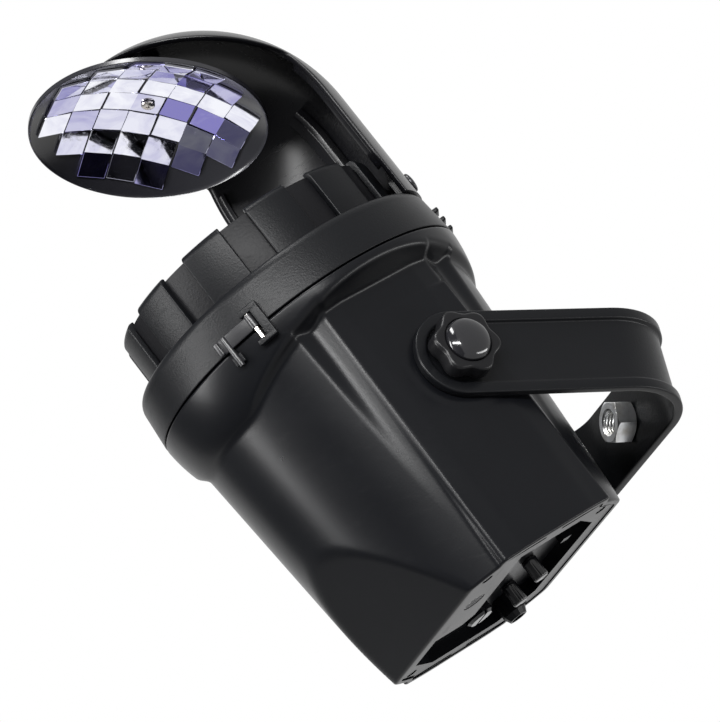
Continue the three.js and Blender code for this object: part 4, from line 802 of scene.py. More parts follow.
ring_black = moulding("ring_black", (0.003, 0.0032, 0.0038), roughness=0.37, gloss=0.11, grain_scale=1200,
                      grain_strength=0.45)
ring_steps = np.linspace(0, math.pi / 2, 9)
ring_corners = [[ring_bore, ring_length - ring_wall], [ring_rear - ring_wall, ring_length - ring_wall],
                [ring_rear - ring_wall, joint_gap], [housing_radius, joint_gap]]
ring_corners += [[ring_front + (ring_rear - ring_front) * math.cos(step),
                  ring_shoulder + (ring_length - ring_shoulder) * math.sin(step)] for step in ring_steps]
ring_corners += [[ring_bore, ring_length]]
ring_shells = [turned(ring_corners, radius=0.5, steps=288)]
for angle in hood_screw_angles:
    ring_shells.append(arc_block(lug_outer - lug_thickness, lug_outer, ring_length - 1,
                                 ring_length + lug_length, angle - lug_half, angle + lug_half))
ring = make_piece("front_ring_moulding", ring_shells, lamp_space, ring_black)
for angle in hood_screw_angles:
    bore(ring, hood_screw_hole, ring_bore, housing_radius, outward(angle, hood_screw_at))
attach(ring, "housing")
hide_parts("front_ring")

grip_places = [round_lamp(grip_angle, grip_first + k * grip_pitch, grip_reach) for k in range(grip_count)]
grips = copied("ring_grips", slab(grip_size, 0.6), grip_places, ring_black)
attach(grips, "housing")


# Catch: a black block and a saddle stand on the ring and the housing, one each side of the joint. A
# bright pin through the block's fork carries the lever, whose latch bar drops into the saddle.
catch_floor = 75.3
catch_top = 78.7
catch_span = (-7.7, 9)
catch_fork = (-5.4, 6.2)
catch_middle = math.radians(-43.4)
catch_half = math.radians(3.3)
catch_angle = math.radians(-44.5)
catch_pin_reach = 77.3
catch_pin_radius = 1.1
catch_pin_span = (-6.9, 7.7)
catch_hub = (1.4, 1.8)
catch_lever_span = (-0.3, 5.9)
catch_lever_end = math.radians(-58.6)
catch_lever_tip = math.radians(1.6)
catch_lever_thickness = 1.5
catch_tip_thickness = 2.8
catch_saddle_angle = math.radians(-55)
catch_saddle_span = (-7.4, -3.4)
catch_saddle_half = math.radians(1.9)
catch_bar_radius = 1.2
catch_bar_start = -8.4


def rod(radius, start, end, bevel=0.3, steps=40):
    """A pin about the z axis, with bevelled ends."""
    return turned([[0, start], [radius, start], [radius, end], [0, end]], bevel, steps, closed=False)


def out_at(angle, reach):
    """A shift from the lamp's axis, out to a reach at an angle."""
    return Matrix.Translation((reach * math.cos(angle), reach * math.sin(angle), 0))


block_low, block_high = catch_middle - catch_half, catch_middle + catch_half
fork_edge = catch_angle + (catch_hub[1] + joint_gap) / catch_pin_reach
fork_lap = 0.6
catch_shells = [arc_block(catch_floor, catch_top, start, end, first, block_high, 0.35, 6)
                for start, end, first in ((catch_span[0], catch_fork[0], block_low),
                                          (catch_fork[1], catch_span[1], block_low),
                                          (catch_fork[0] - fork_lap, catch_fork[1] + fork_lap, fork_edge))]
catch = make_piece("catch_fork_block", catch_shells, lamp_space, ring_black)
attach(catch, "housing")
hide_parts("catch_block")

latch_reach = catch_floor + joint_gap + catch_bar_radius
cheek_shift, cheek_half = catch_saddle_half * 0.6, catch_saddle_half * 0.35
saddle_shells = []
for side in (-1, 1):
    cheek = catch_saddle_angle + side * cheek_shift
    saddle_shells.append(arc_block(catch_floor, latch_reach, *catch_saddle_span, cheek - cheek_half,
                                   cheek + cheek_half, 0.25, 4))
saddle = make_piece("catch_saddle_block", saddle_shells, lamp_space, ring_black)
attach(saddle, "housing")
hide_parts("catch_saddle")

bright_steel = metal("bright_steel", (0.66, 0.64, 0.62), stain=(0.45, 0.4, 0.36), roughness=0.22)
pin_place = out_at(catch_angle, catch_pin_reach)
pin_rod = rod(catch_pin_radius, *catch_pin_span)
pin = make_piece("catch_hinge_pin", [pin_rod], lamp_space @ pin_place, bright_steel)
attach(pin, "housing")
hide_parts("catch_pin")

catch_black = moulding("catch_black", (0.007, 0.007, 0.008), roughness=0.3, gloss=0.3, grain_scale=1000,
                       grain_strength=0.08)
lever_inner = catch_floor + joint_gap
lever_shells = [arc_block(lever_inner, lever_inner + catch_lever_thickness, *catch_lever_span,
                          catch_lever_end, catch_angle, 0.4, 16),
                arc_block(lever_inner, lever_inner + catch_tip_thickness, *catch_lever_span,
                          catch_lever_end, catch_lever_end + catch_lever_tip, 0.5, 4)]
lever = make_piece("catch_lever_plate", lever_shells, lamp_space, catch_black)


def oblong(inner, outer, low, high):
    """The [radius, height] corners of a plain rectangular section."""
    return [[inner, low], [outer, low], [outer, high], [inner, high]]


def moved(part, place):
    """The points and faces of a part, carried into another frame."""
    points, faces = part
    turn, offset = np.array(place.to_3x3()), np.array(place.to_translation())
    return points @ turn.T + offset, faces


hub_ring = turned(oblong(*catch_hub, *catch_lever_span), 0.15, 40)
latch_bar = rod(catch_bar_radius, catch_bar_start, catch_lever_span[1])
latch_place = out_at(catch_saddle_angle, latch_reach)
bar = make_piece("catch_lever_bar", [moved(hub_ring, pin_place), moved(latch_bar, latch_place)], lamp_space,
                 catch_black)
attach(lever, "catch_lever")
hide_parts("catch_lever")
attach(bar, "catch_lever")


# Vent crown: twelve rounded blocks on a sill stand round the lens, and let the lamp's hot air out
# between them. Behind each slot a panel of the baffle stops stray light.
crown_foot = 20.3
crown_radius = 64
crown_wall = 2.5
crown_length = 26
crown_top = crown_foot + crown_length
crown_half = math.radians(9)
crown_round = 3
crown_lip = 1.5
sill_inner = 60
sill_outer = crown_radius - 0.05
sill_height = 1.5
crown_count = 12
panel_radius = 61.2
panel_foot = crown_foot + 1.8
panel_top = 44.6
panel_wall = 2.3
panel_half = math.radians(8.2)
baffle_top = 42.3
disc_radius = 59.3
disc_thickness = 2
tube_radius = 24


def section_block(corners, rounding, half, bevel, reach, steps=18):
    """A block of a given section, swept round the axis through an angle, its two ends rounded."""
    section = softened(corners, rounding, closed=True, steps=3)
    middle = (section.min(axis=0) + section.max(axis=0)) / 2
    size = section.max(axis=0) - section.min(axis=0)
    loops = [stood_at(middle + (section - middle) * (1 - 2 * inset / size), angle)
             for angle, inset in sweep_stops(-half, half, bevel, reach, steps)]
    return shell(np.array(loops), closed=False, capped=True)


def to_mesh(name, shells):
    """A mesh in metres, on no object, to be copied."""
    made = make_piece(name, shells, upright, ring_black)
    mesh = made.data
    bpy.data.objects.remove(made)
    return mesh


crown_inner = crown_radius - crown_wall
lip_inner = crown_inner - crown_lip
crown_section = [[crown_inner, crown_foot], [crown_radius, crown_foot]]
crown_section += [[crown_radius - crown_round + crown_round * math.cos(step),
                   crown_top - crown_round + crown_round * math.sin(step)]
                  for step in np.linspace(0, math.pi / 2, 6)]
crown_section += [[lip_inner, crown_top], [lip_inner, crown_top - crown_wall],
                  [crown_inner, crown_top - crown_wall - crown_lip]]
crown_mesh = to_mesh("crown_block", [section_block(crown_section, 0.35, crown_half, 0.5, crown_radius)])
crown_turns = [(k + 0.5) * 2 * math.pi / crown_count for k in range(crown_count)]
crown_black = moulding("crown_black", (0.0026, 0.0028, 0.0034), roughness=0.36, gloss=0.1,
                       grain_scale=1300, grain_strength=0.35)
crown = copied("crown_blocks", crown_mesh, [round_lamp(turn, 0) for turn in crown_turns], crown_black)
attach(crown, "housing")
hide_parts("vent_crown")
sill_corners = oblong(sill_inner, sill_outer, crown_foot, crown_foot + sill_height)
sill = make_piece("crown_sill", [turned(sill_corners, 0.3, 240)], lamp_space, crown_black)
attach(sill, "housing")

panel_section = oblong(panel_radius - panel_wall, panel_radius, panel_foot, panel_top)
panel_mesh = to_mesh("baffle_panel", [section_block(panel_section, 0.3, panel_half, 0.3, panel_radius)])
baffle_black = moulding("baffle_black", (0.003, 0.003, 0.0036), roughness=0.42, gloss=0.1,
                        grain_scale=900, grain_strength=0.5)
panel_places = [round_lamp(turn + math.pi / crown_count, 0) for turn in crown_turns]
panels = copied("baffle_panels", panel_mesh, panel_places, baffle_black)
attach(panels, "housing")
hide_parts("front_baffle")
disc_corners = oblong(tube_radius + joint_gap, disc_radius, baffle_top - disc_thickness, baffle_top)
disc = make_piece("baffle_disc", [turned(disc_corners, 0.4, 240)], lamp_space, baffle_black)
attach(disc, "housing")


# Lens: a turned aluminium tube with a flange, anodised black, holds the plano-convex lens with a
# threaded retaining ring. The violet filter glass lies on a shoulder below it.
anodised = metal("black_anodised", (0.035, 0.035, 0.04), stain=(0.05, 0.05, 0.055), roughness=0.34,
                 scratch_scale=500)
tube_rear, tube_front, flange_radius = 12, 45.5, 29
flange_foot = baffle_top + joint_gap
flange_face = flange_foot + 2
tube_bore, lens_seat, lens_shoulder = 21.4, 34, 19
filter_seat, filter_bore = 19, 16.5
tube_corners = [[filter_bore, tube_rear], [tube_radius, tube_rear], [tube_radius, flange_foot],
                [flange_radius, flange_foot], [flange_radius, flange_face], [tube_radius, flange_face],
                [tube_radius, tube_front], [tube_bore, tube_front], [tube_bore, lens_seat],
                [lens_shoulder, lens_seat], [lens_shoulder, filter_seat], [filter_bore, filter_seat]]
lens_barrel = make_piece("lens_barrel", [turned(tube_corners, 0.3, 144)], lamp_space, anodised)
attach(lens_barrel, "housing")
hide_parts("lens_tube")


def glass(name, colour, roughness=0.02):
    """Clear or dyed glass, with the faint dust that its surface has."""
    finish, tree = empty_finish(name)
    place = node(tree, "ShaderNodeTexCoord").outputs["Object"]
    rough = ranged(tree, noise(tree, place, 240, 5), 0.4, 0.8, roughness, roughness + 0.06)
    shader = node(tree, "ShaderNodeBsdfPrincipled", {
        "Base Color": (*colour, 1), "Roughness": rough, "IOR": 1.5, "Transmission Weight": 1.0})
    node(tree, "ShaderNodeOutputMaterial", {"Surface": shader.outputs[0]})
    return finish


clear_glass = glass("clear_glass", (0.97, 0.98, 1.0))
violet_glass = glass("violet_glass", (0.55, 0.35, 0.95))
lens_radius, lens_edge, lens_bulge = 21, 2, 6
lens_foot = lens_seat + joint_gap
sphere = (lens_radius ** 2 + lens_bulge ** 2) / (2 * lens_bulge)
lens_corners = [[0, lens_foot], [lens_radius, lens_foot]]
lens_corners += [[across, lens_foot + lens_edge + lens_bulge - sphere + math.sqrt(sphere ** 2 - across ** 2)]
                 for across in np.linspace(lens_radius, 0, 20)]
lens_shell = turned(lens_corners, 0.25, 144, closed=False)
lens = make_piece("front_lens", [lens_shell], lamp_space, clear_glass, crease=50)
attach(lens, "housing")
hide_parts("objective_lens")
keeper_foot = lens_foot + lens_edge + joint_gap
keeper_top, keeper_bore = keeper_foot + 4.2, lens_radius - 2
keeper_corners = [[lens_radius, keeper_foot], [lens_radius, keeper_top], [keeper_bore, keeper_top],
                  [keeper_bore, keeper_foot + 2.2]]
keeper = make_piece("lens_keeper", [turned(keeper_corners, 0.2, 144)], lamp_space, anodised)
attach(keeper, "housing")
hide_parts("lens_retainer")


# Hood: a glossy black scoop screwed to the ring's lugs, half a barrel that closes in a dome over the
# nose. It is one wall thick with a rounded rim, stiffening ribs along its edges and two motor posts.
hood_radius = 74
hood_wall = 3
dome_at = 75
hood_edge = 43.5
dish_tilt = math.radians(36.4)
hood_rim = 47
dome_aim = math.pi / 2 - dish_tilt
dish_shift = 24
motor_rear = 60.3
motor_front = 53.2
post_offset = 8
post_radius = 3.4
post_bore = 1.7
post_top = 66.5
motor_screw_head = 2.8
motor_screw_reach = math.hypot(dish_shift, post_offset) + motor_screw_head
motor_screw_seat = math.sqrt(hood_radius ** 2 - motor_screw_reach ** 2)
dome_space = lamp_space @ Matrix.Translation((0, 0, dome_at)) @ Matrix.Rotation(-dish_tilt, 4, "X")
dish_space = dome_space @ Matrix.Translation((0, -dish_shift, 0))


def hood_curve(depth, lift, share, across):
    """Points over the dome, at a depth below its skin: across from one edge to the other, the edge being
    the lift above the hood's lower planes. The share runs from the barrel's end to the nose."""
    radius = hood_radius - depth
    turn = share * (dome_aim + math.acos((hood_rim + lift) / radius))
    rise = (hood_edge + lift) / (radius * max(math.cos(turn), 1e-3)) if turn < math.pi / 2 else 9
    mouth = (hood_rim + lift) / (radius * math.cos(turn - dome_aim))
    low = math.asin(min(1, float(soft_min(rise, mouth, 0.03))))
    angle = low + (math.pi - 2 * low) * across
    side, top = np.cos(angle) * radius, np.sin(angle) * radius
    return np.stack([side, top * math.cos(turn), dome_at + top * math.sin(turn)], axis=-1)


def hood_loop(share, height=None):
    """One closed section: over the outside, round the far rim, back along the inside, round the near rim."""
    across = np.linspace(0, 1, 73)
    bends = np.linspace(0, math.pi / 2, 6)[1:-1]
    rim = 1.1
    turn_out = [(rim * (1 - math.cos(b)), rim * (1 - math.sin(b))) for b in bends]
    turn_in = [(hood_wall - rim * (1 - math.sin(b)), rim * (1 - math.cos(b))) for b in bends]
    corner = turn_out + [(rim, 0), (hood_wall - rim, 0)] + turn_in
    points = [hood_curve(0, rim, share, across)]
    points += [hood_curve(depth, lift, share, np.array([1.0])) for depth, lift in corner]
    points += [hood_curve(hood_wall, rim, share, across[::-1])]
    points += [hood_curve(depth, lift, share, np.array([0.0])) for depth, lift in reversed(corner)]
    loop = np.concatenate(points)
    if height is not None:
        loop[:, 2] = height
    return loop


hood_rear = 20.3
crowding = 1.35
sections = [hood_loop(0, height) for height in np.linspace(hood_rear, dome_at - 1, 30)]
sections += [hood_loop(share) for share in 1 - (1 - np.linspace(0, 1, 72)) ** crowding]
hood_black = moulding("hood_black", (0.0026, 0.0026, 0.0032), roughness=0.26, gloss=0.13, grain_scale=700,
                      grain_strength=0.03, clouding=0.08, rubs=0.06)


rib_start = 36.3
rib_share = 0.23
rib_section = [(hood_wall - 0.6, 0.3), (hood_wall + 2.0, 0.3), (hood_wall + 2.4, 0.7), (hood_wall + 2.4, 1.6),
               (hood_wall + 2.0, 2.0), (hood_wall - 0.6, 2.0)]


def rib_shell(side):
    """A rib inside the hood's edge, along the barrel and a little way up the dome."""
    loops = []
    end = np.array([0.0 if side > 0 else 1.0])
    stops = [(0, height) for height in np.linspace(rib_start, dome_at - 1, 14)]
    stops += [(share, None) for share in np.linspace(0, rib_share, 12)]
    for share, height in stops:
        loop = np.concatenate([hood_curve(depth, lift, share, end) for depth, lift in rib_section])
        if height is not None:
            loop[:, 2] = height
        loops.append(loop)
    return shell(np.array(loops), closed=False, capped=True)


def in_lamp(part, place):
    """A part given in another frame of the lamp, brought into the lamp's own frame."""
    return moved(part, lamp_space.inverted() @ place)


scoop_points, scoop_faces = shell(np.array(sections), closed=False)
scoop_faces.append(list(range(len(sections[0]))))
hood = make_piece("hood_scoop", [(scoop_points, scoop_faces)], lamp_space, hood_black, crease=40)
stiffening = [rib_shell(1), rib_shell(-1)]
for side in (1, -1):
    post_place = dish_space @ Matrix.Translation((side * post_offset, 0, 0))
    bore(hood, motor_screw_head + joint_gap, motor_screw_seat, hood_radius + 3, post_place)
    bore(hood, post_bore, motor_rear - 1, hood_radius + 3, post_place)
    post = turned(oblong(post_bore, post_radius, motor_rear + joint_gap, post_top), 0.3, 48)
    stiffening.append(in_lamp(post, post_place))
for angle in hood_screw_angles:
    bore(hood, hood_screw_hole, hood_radius - 8, hood_radius + 3, outward(angle, hood_screw_at))
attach(hood, "housing")
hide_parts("hood")
ribs = make_piece("hood_ribs", stiffening, lamp_space, hood_black)
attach(ribs, "housing")


# Screws: black steel ones hold the hood to the ring's lugs, and zinc-plated ones hold the motor to the
# hood's posts. Each has a domed head, cold formed, with a cross recess punched in.
def screw_mesh(name, head, height, shank, below, recess):
    """A screw along z whose head stands on zero: its dome above, its shank below, its cross cut in."""
    rim = 0.35
    corners = [[0, -below], [shank, -below], [shank, 0], [head, 0]]
    corners += [[head * math.cos(step), height * (rim + (1 - rim) * math.sin(step))]
                for step in np.linspace(0, math.pi / 2, 8)]
    corners[-1][0] = 0
    made = make_piece(name, [turned(corners, 0.15, 48, closed=False)], upright, zinc)
    low, high, wide, half = height - recess, height + 1, head * 0.55, head * 0.09
    wedge = [(-wide * 0.35, low), (wide * 0.35, low), (wide, high), (-wide, high)]
    loops = np.array([[[x, side * half, z] for x, z in wedge] for side in (-1, 1)])
    for turn in (0, math.pi / 2):
        place = Matrix.Rotation(turn, 4, "Z")
        cut_away(made, make_piece("cross", [shell(loops, closed=False, capped=True)], place, zinc))
    mesh = made.data
    mesh.shade_smooth()
    mesh.set_sharp_from_angle(angle=math.radians(35))
    bpy.data.objects.remove(made)
    return mesh


black_screw = metal("black_screw", (0.03, 0.03, 0.032), stain=(0.05, 0.05, 0.05), roughness=0.36)
hood_screw = screw_mesh("hood_screw", head=4.5, height=2, shank=1.9, below=7.4, recess=1.1)
for number, angle in enumerate(hood_screw_angles, 1):
    place = outward(angle, hood_screw_at) @ Matrix.Translation((0, 0, hood_radius + joint_gap))
    made = copied(f"hood_cross_screw_{number}", hood_screw, [place], black_screw)
    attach(made, "housing")
    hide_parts(f"hood_screw_{number}")
motor_screw_at = motor_screw_seat + joint_gap
motor_screw = screw_mesh("motor_screw", motor_screw_head, height=1.4, shank=1.4,
                         below=motor_screw_at - motor_rear + 4, recess=0.8)
for number, side in enumerate((1, -1), 1):
    place = dish_space @ Matrix.Translation((side * post_offset, 0, motor_screw_at))
    made = copied(f"motor_cross_screw_{number}", motor_screw, [place], zinc)
    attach(made, "housing")
    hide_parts(f"motor_screw_{number}")


# Wire duct: a black channel along the hood's roof that carries the motor's leads, with a bead down
# each side where it is welded on.
duct_start, duct_nose = 26.5, 93
duct_half, duct_wide = 2.5, 5
duct_reach = hood_radius - hood_wall - joint_gap - duct_half
duct_end = math.asin((duct_nose - dome_at) / duct_reach)
duct_section = softened([[-duct_half, -duct_wide], [0.9, -duct_wide], [duct_half, -3.3], [duct_half, 3.3],
                         [0.9, duct_wide], [-duct_half, duct_wide]], 0.5, closed=True)
reach, aside = duct_reach - duct_section[:, 0], duct_section[:, 1]
duct_loops = [np.stack([aside, reach, 0 * reach + height], axis=-1)
              for height in np.linspace(duct_start, dome_at - 1, 20)]
duct_loops += [np.stack([aside, reach * math.cos(turn), dome_at + reach * math.sin(turn)], axis=-1)
               for turn in np.linspace(0, duct_end, 16)]
duct_shell = shell(np.array(duct_loops), closed=False, capped=True)
duct = make_piece("wire_channel", [duct_shell], lamp_space, hood_black)
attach(duct, "housing")
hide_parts("wire_duct")


# Mirror dish: a shallow black bowl on the motor's shaft, its hollow side laid with square glass
# mirrors. Each is a bevelled tile turned to the bowl's centre, silvered a little differently.
dish_rim = 51.2
dish_depth = 16
dish_wall = 1.8
dish_floor = 49.796
bowl_radius = (dish_rim ** 2 + dish_depth ** 2) / (2 * dish_depth)
tile_pitch = 13.2
tile_size = 12.75
tile_thickness = 1.2
tile_bed = 0.35
tile_bevel = 0.22
tile_lean = 0.004
tile_rows = (1, 2, 3, 3, 3, 2, 1)
dish_hole = 1.8
hub_radius = 6
hub_foot, hub_top = dish_floor + 1, dish_floor + dish_wall + 1.2
shaft_radius = 2
shaft_end = 59


def bowl_profile(radius, last):
    """Half of a bowl's section, from the edge of its centre hole outward."""
    across = np.linspace(dish_hole, last, 40)
    return np.stack([across, dish_floor - bowl_radius + np.sqrt(radius ** 2 - across ** 2)], axis=-1)


dish_black = moulding("dish_black", (0.008, 0.008, 0.01), roughness=0.22, gloss=0.5, grain_scale=900,
                      grain_strength=0.05, clouding=0.05)
inner_bowl = bowl_profile(bowl_radius, dish_rim - 0.5)
outer_bowl = bowl_profile(bowl_radius + dish_wall, dish_rim)[::-1]
rim_bead = [[dish_rim - 0.4, inner_bowl[-1][1] - 0.35], [dish_rim, inner_bowl[-1][1] - 0.1]]
bowl_corners = np.concatenate([inner_bowl, rim_bead, outer_bowl])
hub = turned(oblong(dish_hole, hub_radius, hub_foot, hub_top), 0.3, 48)
dish_shaft = rod(shaft_radius, hub_top - 0.1, shaft_end)
bowl_shell = shell(circle_loops(bowl_corners, full_turn(192)))
bowl = make_piece("dish_bowl", [bowl_shell, hub, dish_shaft], dish_space, dish_black, crease=50)
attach(bowl, "dish")


def silvering():
    """Mirror glass seen through its dye: the tone of each tile, a thin bloom, and dusty smears."""
    tree, given, made = shared_effect(
        "mirror_silvering",
        [("Silver", tint, (0.9, 0.92, 1, 1)), ("Dye", tint, (0.4, 0.35, 0.9, 1)), ("Roughness", plain, 0.03)],
        surface_sockets)
    place = node(tree, "ShaderNodeTexCoord").outputs["Object"]
    tone = node(tree, "ShaderNodeAttribute", attribute_name="tone").outputs["Vector"]
    dyed = node(tree, "ShaderNodeSeparateXYZ", {0: tone}).outputs[0]
    bloom = noise(tree, place, 55, 4, distortion=1.2)
    smear = noise(tree, place, 420, 5, 0.7)
    lift = ranged(tree, bloom, 0.42, 0.66, 0, 0.25)
    share = reckoned(tree, "MULTIPLY_ADD", dyed, dyed, lift, use_clamp=True)
    colour = blended(tree, share, given["Silver"], given["Dye"])
    rough = reckoned(tree, "ADD", ranged(tree, smear, 0.5, 0.78, 0, 0.16), given["Roughness"])
    give_out(tree, made, colour, rough, smear)
    return tree


mirror = skinned("mirror_glass", silvering(), {"Silver": (0.93, 0.94, 1, 1), "Dye": (0.2, 0.18, 0.5, 1)},
                 0.02, 0.0001, {"Metallic": 1.0, "Coat Weight": 0.6, "Coat Roughness": 0.02})

tile_places, tones = [], []
chance = np.random.default_rng(7)
pitch_angle = tile_pitch / bowl_radius
tile_reach = bowl_radius - tile_bed - tile_thickness / 2
bowl_centre = dish_space @ Matrix.Translation((0, 0, dish_floor - bowl_radius))
for row, half in enumerate(tile_rows):
    row_angle = (row - len(tile_rows) // 2) * pitch_angle
    for column in range(-half, half + 1):
        column_angle = column * pitch_angle / math.cos(row_angle)
        lean = chance.normal(0, tile_lean, 2)
        aim = Matrix.Rotation(column_angle + lean[0], 4, "Y") @ Matrix.Rotation(row_angle + lean[1], 4, "X")
        tile_places.append(bowl_centre @ aim @ Matrix.Translation((0, 0, tile_reach)))
        tones.append(chance.uniform(0, 1, 3))
tile = slab((tile_size, tile_size, tile_thickness), tile_bevel, 2)
tile.set_sharp_from_angle(angle=math.radians(20))
mirrors = copied("mirror_tiles", tile, tile_places, mirror, tones)
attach(mirrors, "dish")
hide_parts("mirror_dish")

dish_screw_mesh = screw_mesh("dish_screw", head=3, height=1.6, shank=1.4, below=4.6, recess=0.9)
screw_seat = dish_space @ Matrix.Translation((0, 0, dish_floor - tile_bed - tile_thickness - joint_gap))
screw_place = screw_seat @ Matrix.Rotation(math.pi, 4, "X")
dish_screw = copied("dish_cross_screw", dish_screw_mesh, [screw_place], bright_steel)
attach(dish_screw, "dish")
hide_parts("dish_screw")


# Dish motor: a small geared synchronous motor in a zinc can, held by the hood's two posts. It has a
# rolled rim, a stepped gearbox nose and a steel shaft on which the dish's hub is pressed.
motor_radius = 12
motor_bore = 2.4
motor_screw_bore, motor_screw_depth = 1.7, 4.3
nose_radius, nose_inner = motor_radius - 0.8, 5
nose_face, nose_sunk, nose_foot = motor_front + 0.2, motor_front + 1.2, motor_front + 2.4
can = turned([[motor_bore, nose_sunk], [nose_inner, nose_sunk], [nose_inner, nose_face],
              [nose_radius, nose_face], [nose_radius, nose_foot], [motor_radius, nose_foot],
              [motor_radius, motor_rear], [motor_bore, motor_rear]], 0.4, 96)
motor = make_piece("dish_motor_can", [can], dish_space, zinc)
for side in (1, -1):
    bore(motor, motor_screw_bore, motor_rear - motor_screw_depth, motor_rear + 1,
         dish_space @ Matrix.Translation((side * post_offset, 0, 0)))
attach(motor, "housing")
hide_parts("dish_motor")


# Rear controls: two moulded, fluted knobs are pushed on their shafts in the cover's sunk panel. The
# microphone's grille is punched from black steel, and four black screws hold the cover.
recess_floor = -128
cover_face = -133.8
sound_across, speed_across, control_high = 6.479, -16.321, 14.5
control_radius, control_flute, control_flutes = 3.42, 0.08, 18
control_rim, control_top = 0.9, 9.9
control_shaft_radius, control_shaft_end, control_shaft_top = 1.5, -5.2, joint_gap + 0.2
pointer_size, pointer_out = (0.6, 3.3, 1.6), 1.9
microphone_across, microphone_high = 17.8, -27
grille_radius, grille_thickness, grille_pitch = 5, 0.8, 1.5
grille_rows, grille_hole = 3, 0.5
grille_seat = cover_face + 0.95
cover_screw_across, cover_screw_up = 43.02, 32.42
cover_screw_seat = cover_face + 1.2


def behind(across, up, height=recess_floor):
    """A frame on the rear of the lamp whose z axis points out to the back."""
    return lamp_space @ Matrix.Translation((across, up, height)) @ Matrix.Rotation(math.pi, 4, "X")


def fluted_knob():
    """A control knob with a plain skirt, and flutes up to its rounded top edge."""
    angles = full_turn(180)
    fluted = control_radius + control_flute * np.cos(control_flutes * angles)
    foot, skirt, skirt_top = joint_gap, 3.5, 2.2
    along, fall = edge_round(control_rim, 6)
    loops = [circle_loops([[0, foot], [skirt - 0.2, foot], [skirt, foot + 0.2], [skirt, skirt_top],
                           [control_radius, skirt_top + 0.2]], angles),
             outline_loops((fluted - fall[:, None])[::-1], (control_top - along)[::-1], angles),
             circle_loops([[0, control_top]], angles)]
    return shell(np.concatenate(loops), closed=False)


for label, across in (("sound", sound_across), ("speed", speed_across)):
    shaft = rod(control_shaft_radius, control_shaft_end, control_shaft_top)
    place = behind(across, control_high)
    knob = make_piece(f"{label}_fluted_knob", [fluted_knob(), shaft], place, gloss_black)
    groove = bpy.data.objects.new("groove", slab(pointer_size, 0.1))
    groove.matrix_world = metre_place(place @ Matrix.Translation((0, -pointer_out, control_top)))
    scene.collection.objects.link(groove)
    cut_away(knob, groove)
    knob.data.set_sharp_from_angle(angle=math.radians(32))
    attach(knob, f"{label}_knob")
    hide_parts(f"{label}_knob")

grille_place = behind(microphone_across, microphone_high, grille_seat)
grille_mesh = to_mesh("grille_disc", [rod(grille_radius, 0, grille_thickness, 0.25, 64)])
grille = copied("microphone_mesh", grille_mesh, [grille_place], black_screw)
hole_loops = circle_loops([[grille_hole, -1], [grille_hole, 2]], full_turn(12))
hole_mesh = to_mesh("grille_hole", [shell(hole_loops, closed=False, capped=True)])
hole_places = []
for row in range(-grille_rows, grille_rows + 1):
    for column in range(-grille_rows, grille_rows + 1):
        across, up = (column + 0.5 * (row % 2)) * grille_pitch, row * grille_pitch * math.sin(math.pi / 3)
        if math.hypot(across, up) < grille_radius - 1:
            hole_places.append(grille_place @ Matrix.Translation((across, up, 0)))
cut_away(grille, copied("grille_holes", hole_mesh, hole_places, black_screw))
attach(grille, "housing")
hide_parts("microphone_grille")

cover_screw = screw_mesh("cover_screw", head=2.4, height=1.0, shank=1.2, below=7.5, recess=0.6)
for number, (across, up) in enumerate(((1, 1), (1, -1), (-1, 1), (-1, -1)), 1):
    place = behind(across * cover_screw_across, up * cover_screw_up, cover_screw_seat)
    made = copied(f"cover_cross_screw_{number}", cover_screw, [place], black_screw)
    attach(made, "housing")
    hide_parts(f"cover_screw_{number}")


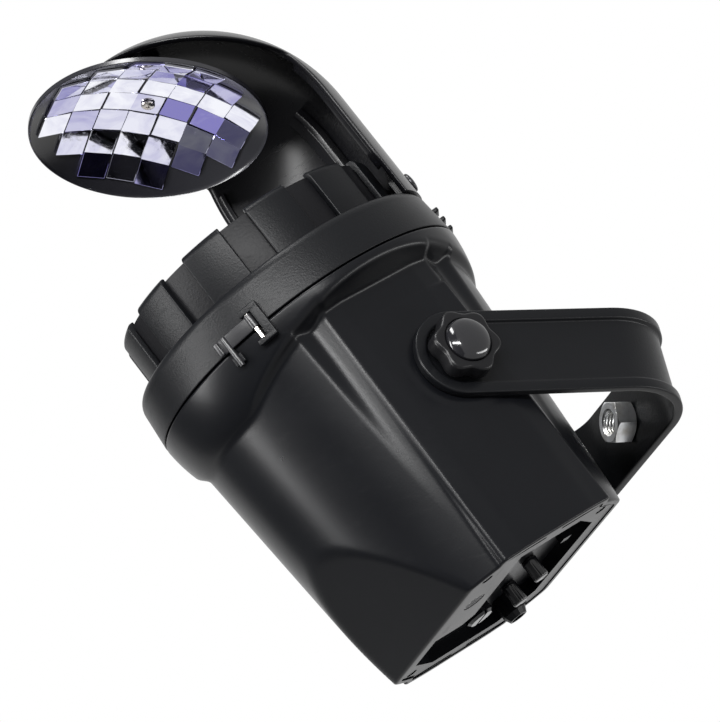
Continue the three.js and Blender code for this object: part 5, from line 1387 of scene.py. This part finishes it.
# Inside and under: the pieces whose drawn shape is right keep it and get their finish here, from the
# zinc studs and brass inserts to the filter glass, the board, the transformer and the halogen lamp.
def insulating(name, colour, other, scale, roughness):
    """Fibre, ceramic or lacquered stuff: two tones in a fine mottle, with a matte uneven face."""
    finish, tree = empty_finish(name)
    place = node(tree, "ShaderNodeTexCoord").outputs["Object"]
    mottle = noise(tree, place, scale, 5, 0.65)
    tone = blended(tree, ranged(tree, mottle, 0.35, 0.7), (*colour, 1), (*other, 1))
    rough = ranged(tree, mottle, 0, 1, roughness - 0.1, roughness + 0.1)
    bump = node(tree, "ShaderNodeBump", {"Strength": 0.2, "Distance": 0.0001, "Height": mottle})
    shader = node(tree, "ShaderNodeBsdfPrincipled", {
        "Base Color": tone, "Roughness": rough, "Normal": bump.outputs[0]})
    node(tree, "ShaderNodeOutputMaterial", {"Surface": shader.outputs[0]})
    return finish


brass = metal("turned_brass", (0.78, 0.58, 0.27), stain=(0.55, 0.38, 0.16), roughness=0.28)
aluminium = metal("spun_aluminium", (0.82, 0.83, 0.84), stain=(0.62, 0.62, 0.61), roughness=0.2)
laminate = metal("core_laminate", (0.1, 0.1, 0.105), stain=(0.14, 0.09, 0.06), roughness=0.45,
                 scratch_scale=600)
copper = metal("enamelled_copper", (0.72, 0.3, 0.12), stain=(0.5, 0.18, 0.06), roughness=0.3,
               scratch_scale=900, scratch_strength=0.3)
fibre = insulating("red_fibre", (0.3, 0.09, 0.06), other=(0.22, 0.06, 0.045), scale=900, roughness=0.7)
ceramic = insulating("lamp_ceramic", (0.78, 0.75, 0.68), other=(0.68, 0.64, 0.56), scale=260,
                     roughness=0.6)
board_green = insulating("circuit_board", (0.03, 0.16, 0.07), other=(0.05, 0.22, 0.1), scale=500,
                         roughness=0.4)
sleeve = insulating("capacitor_sleeve", (0.04, 0.05, 0.12), other=(0.06, 0.075, 0.16), scale=200,
                    roughness=0.35)
kept_finishes = {
    satin_black: ("rear_cover", "cable_gland", "gland_nut", "mode_switch"),
    gloss_black: ("fuse_holder",),
    zinc: ("near_clamp_stud", "far_clamp_stud", "sound_control", "speed_control", "switch_body",
           "microphone"),
    brass: ("near_pivot_insert", "far_pivot_insert"),
    fibre: ("near_friction_washer", "far_friction_washer"),
    aluminium: ("chassis_plate", "reflector"),
    clear_glass: ("lamp_capsule",),
    violet_glass: ("colour_filter",),
    ceramic: ("lamp_socket",),
    laminate: ("transformer_core",),
    copper: ("transformer_coil",),
    board_green: ("circuit_board",),
    sleeve: ("capacitor_1", "capacitor_2"),
}
for finish, names in kept_finishes.items():
    for name in names:
        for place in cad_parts[name].material_slots:
            place.material = finish
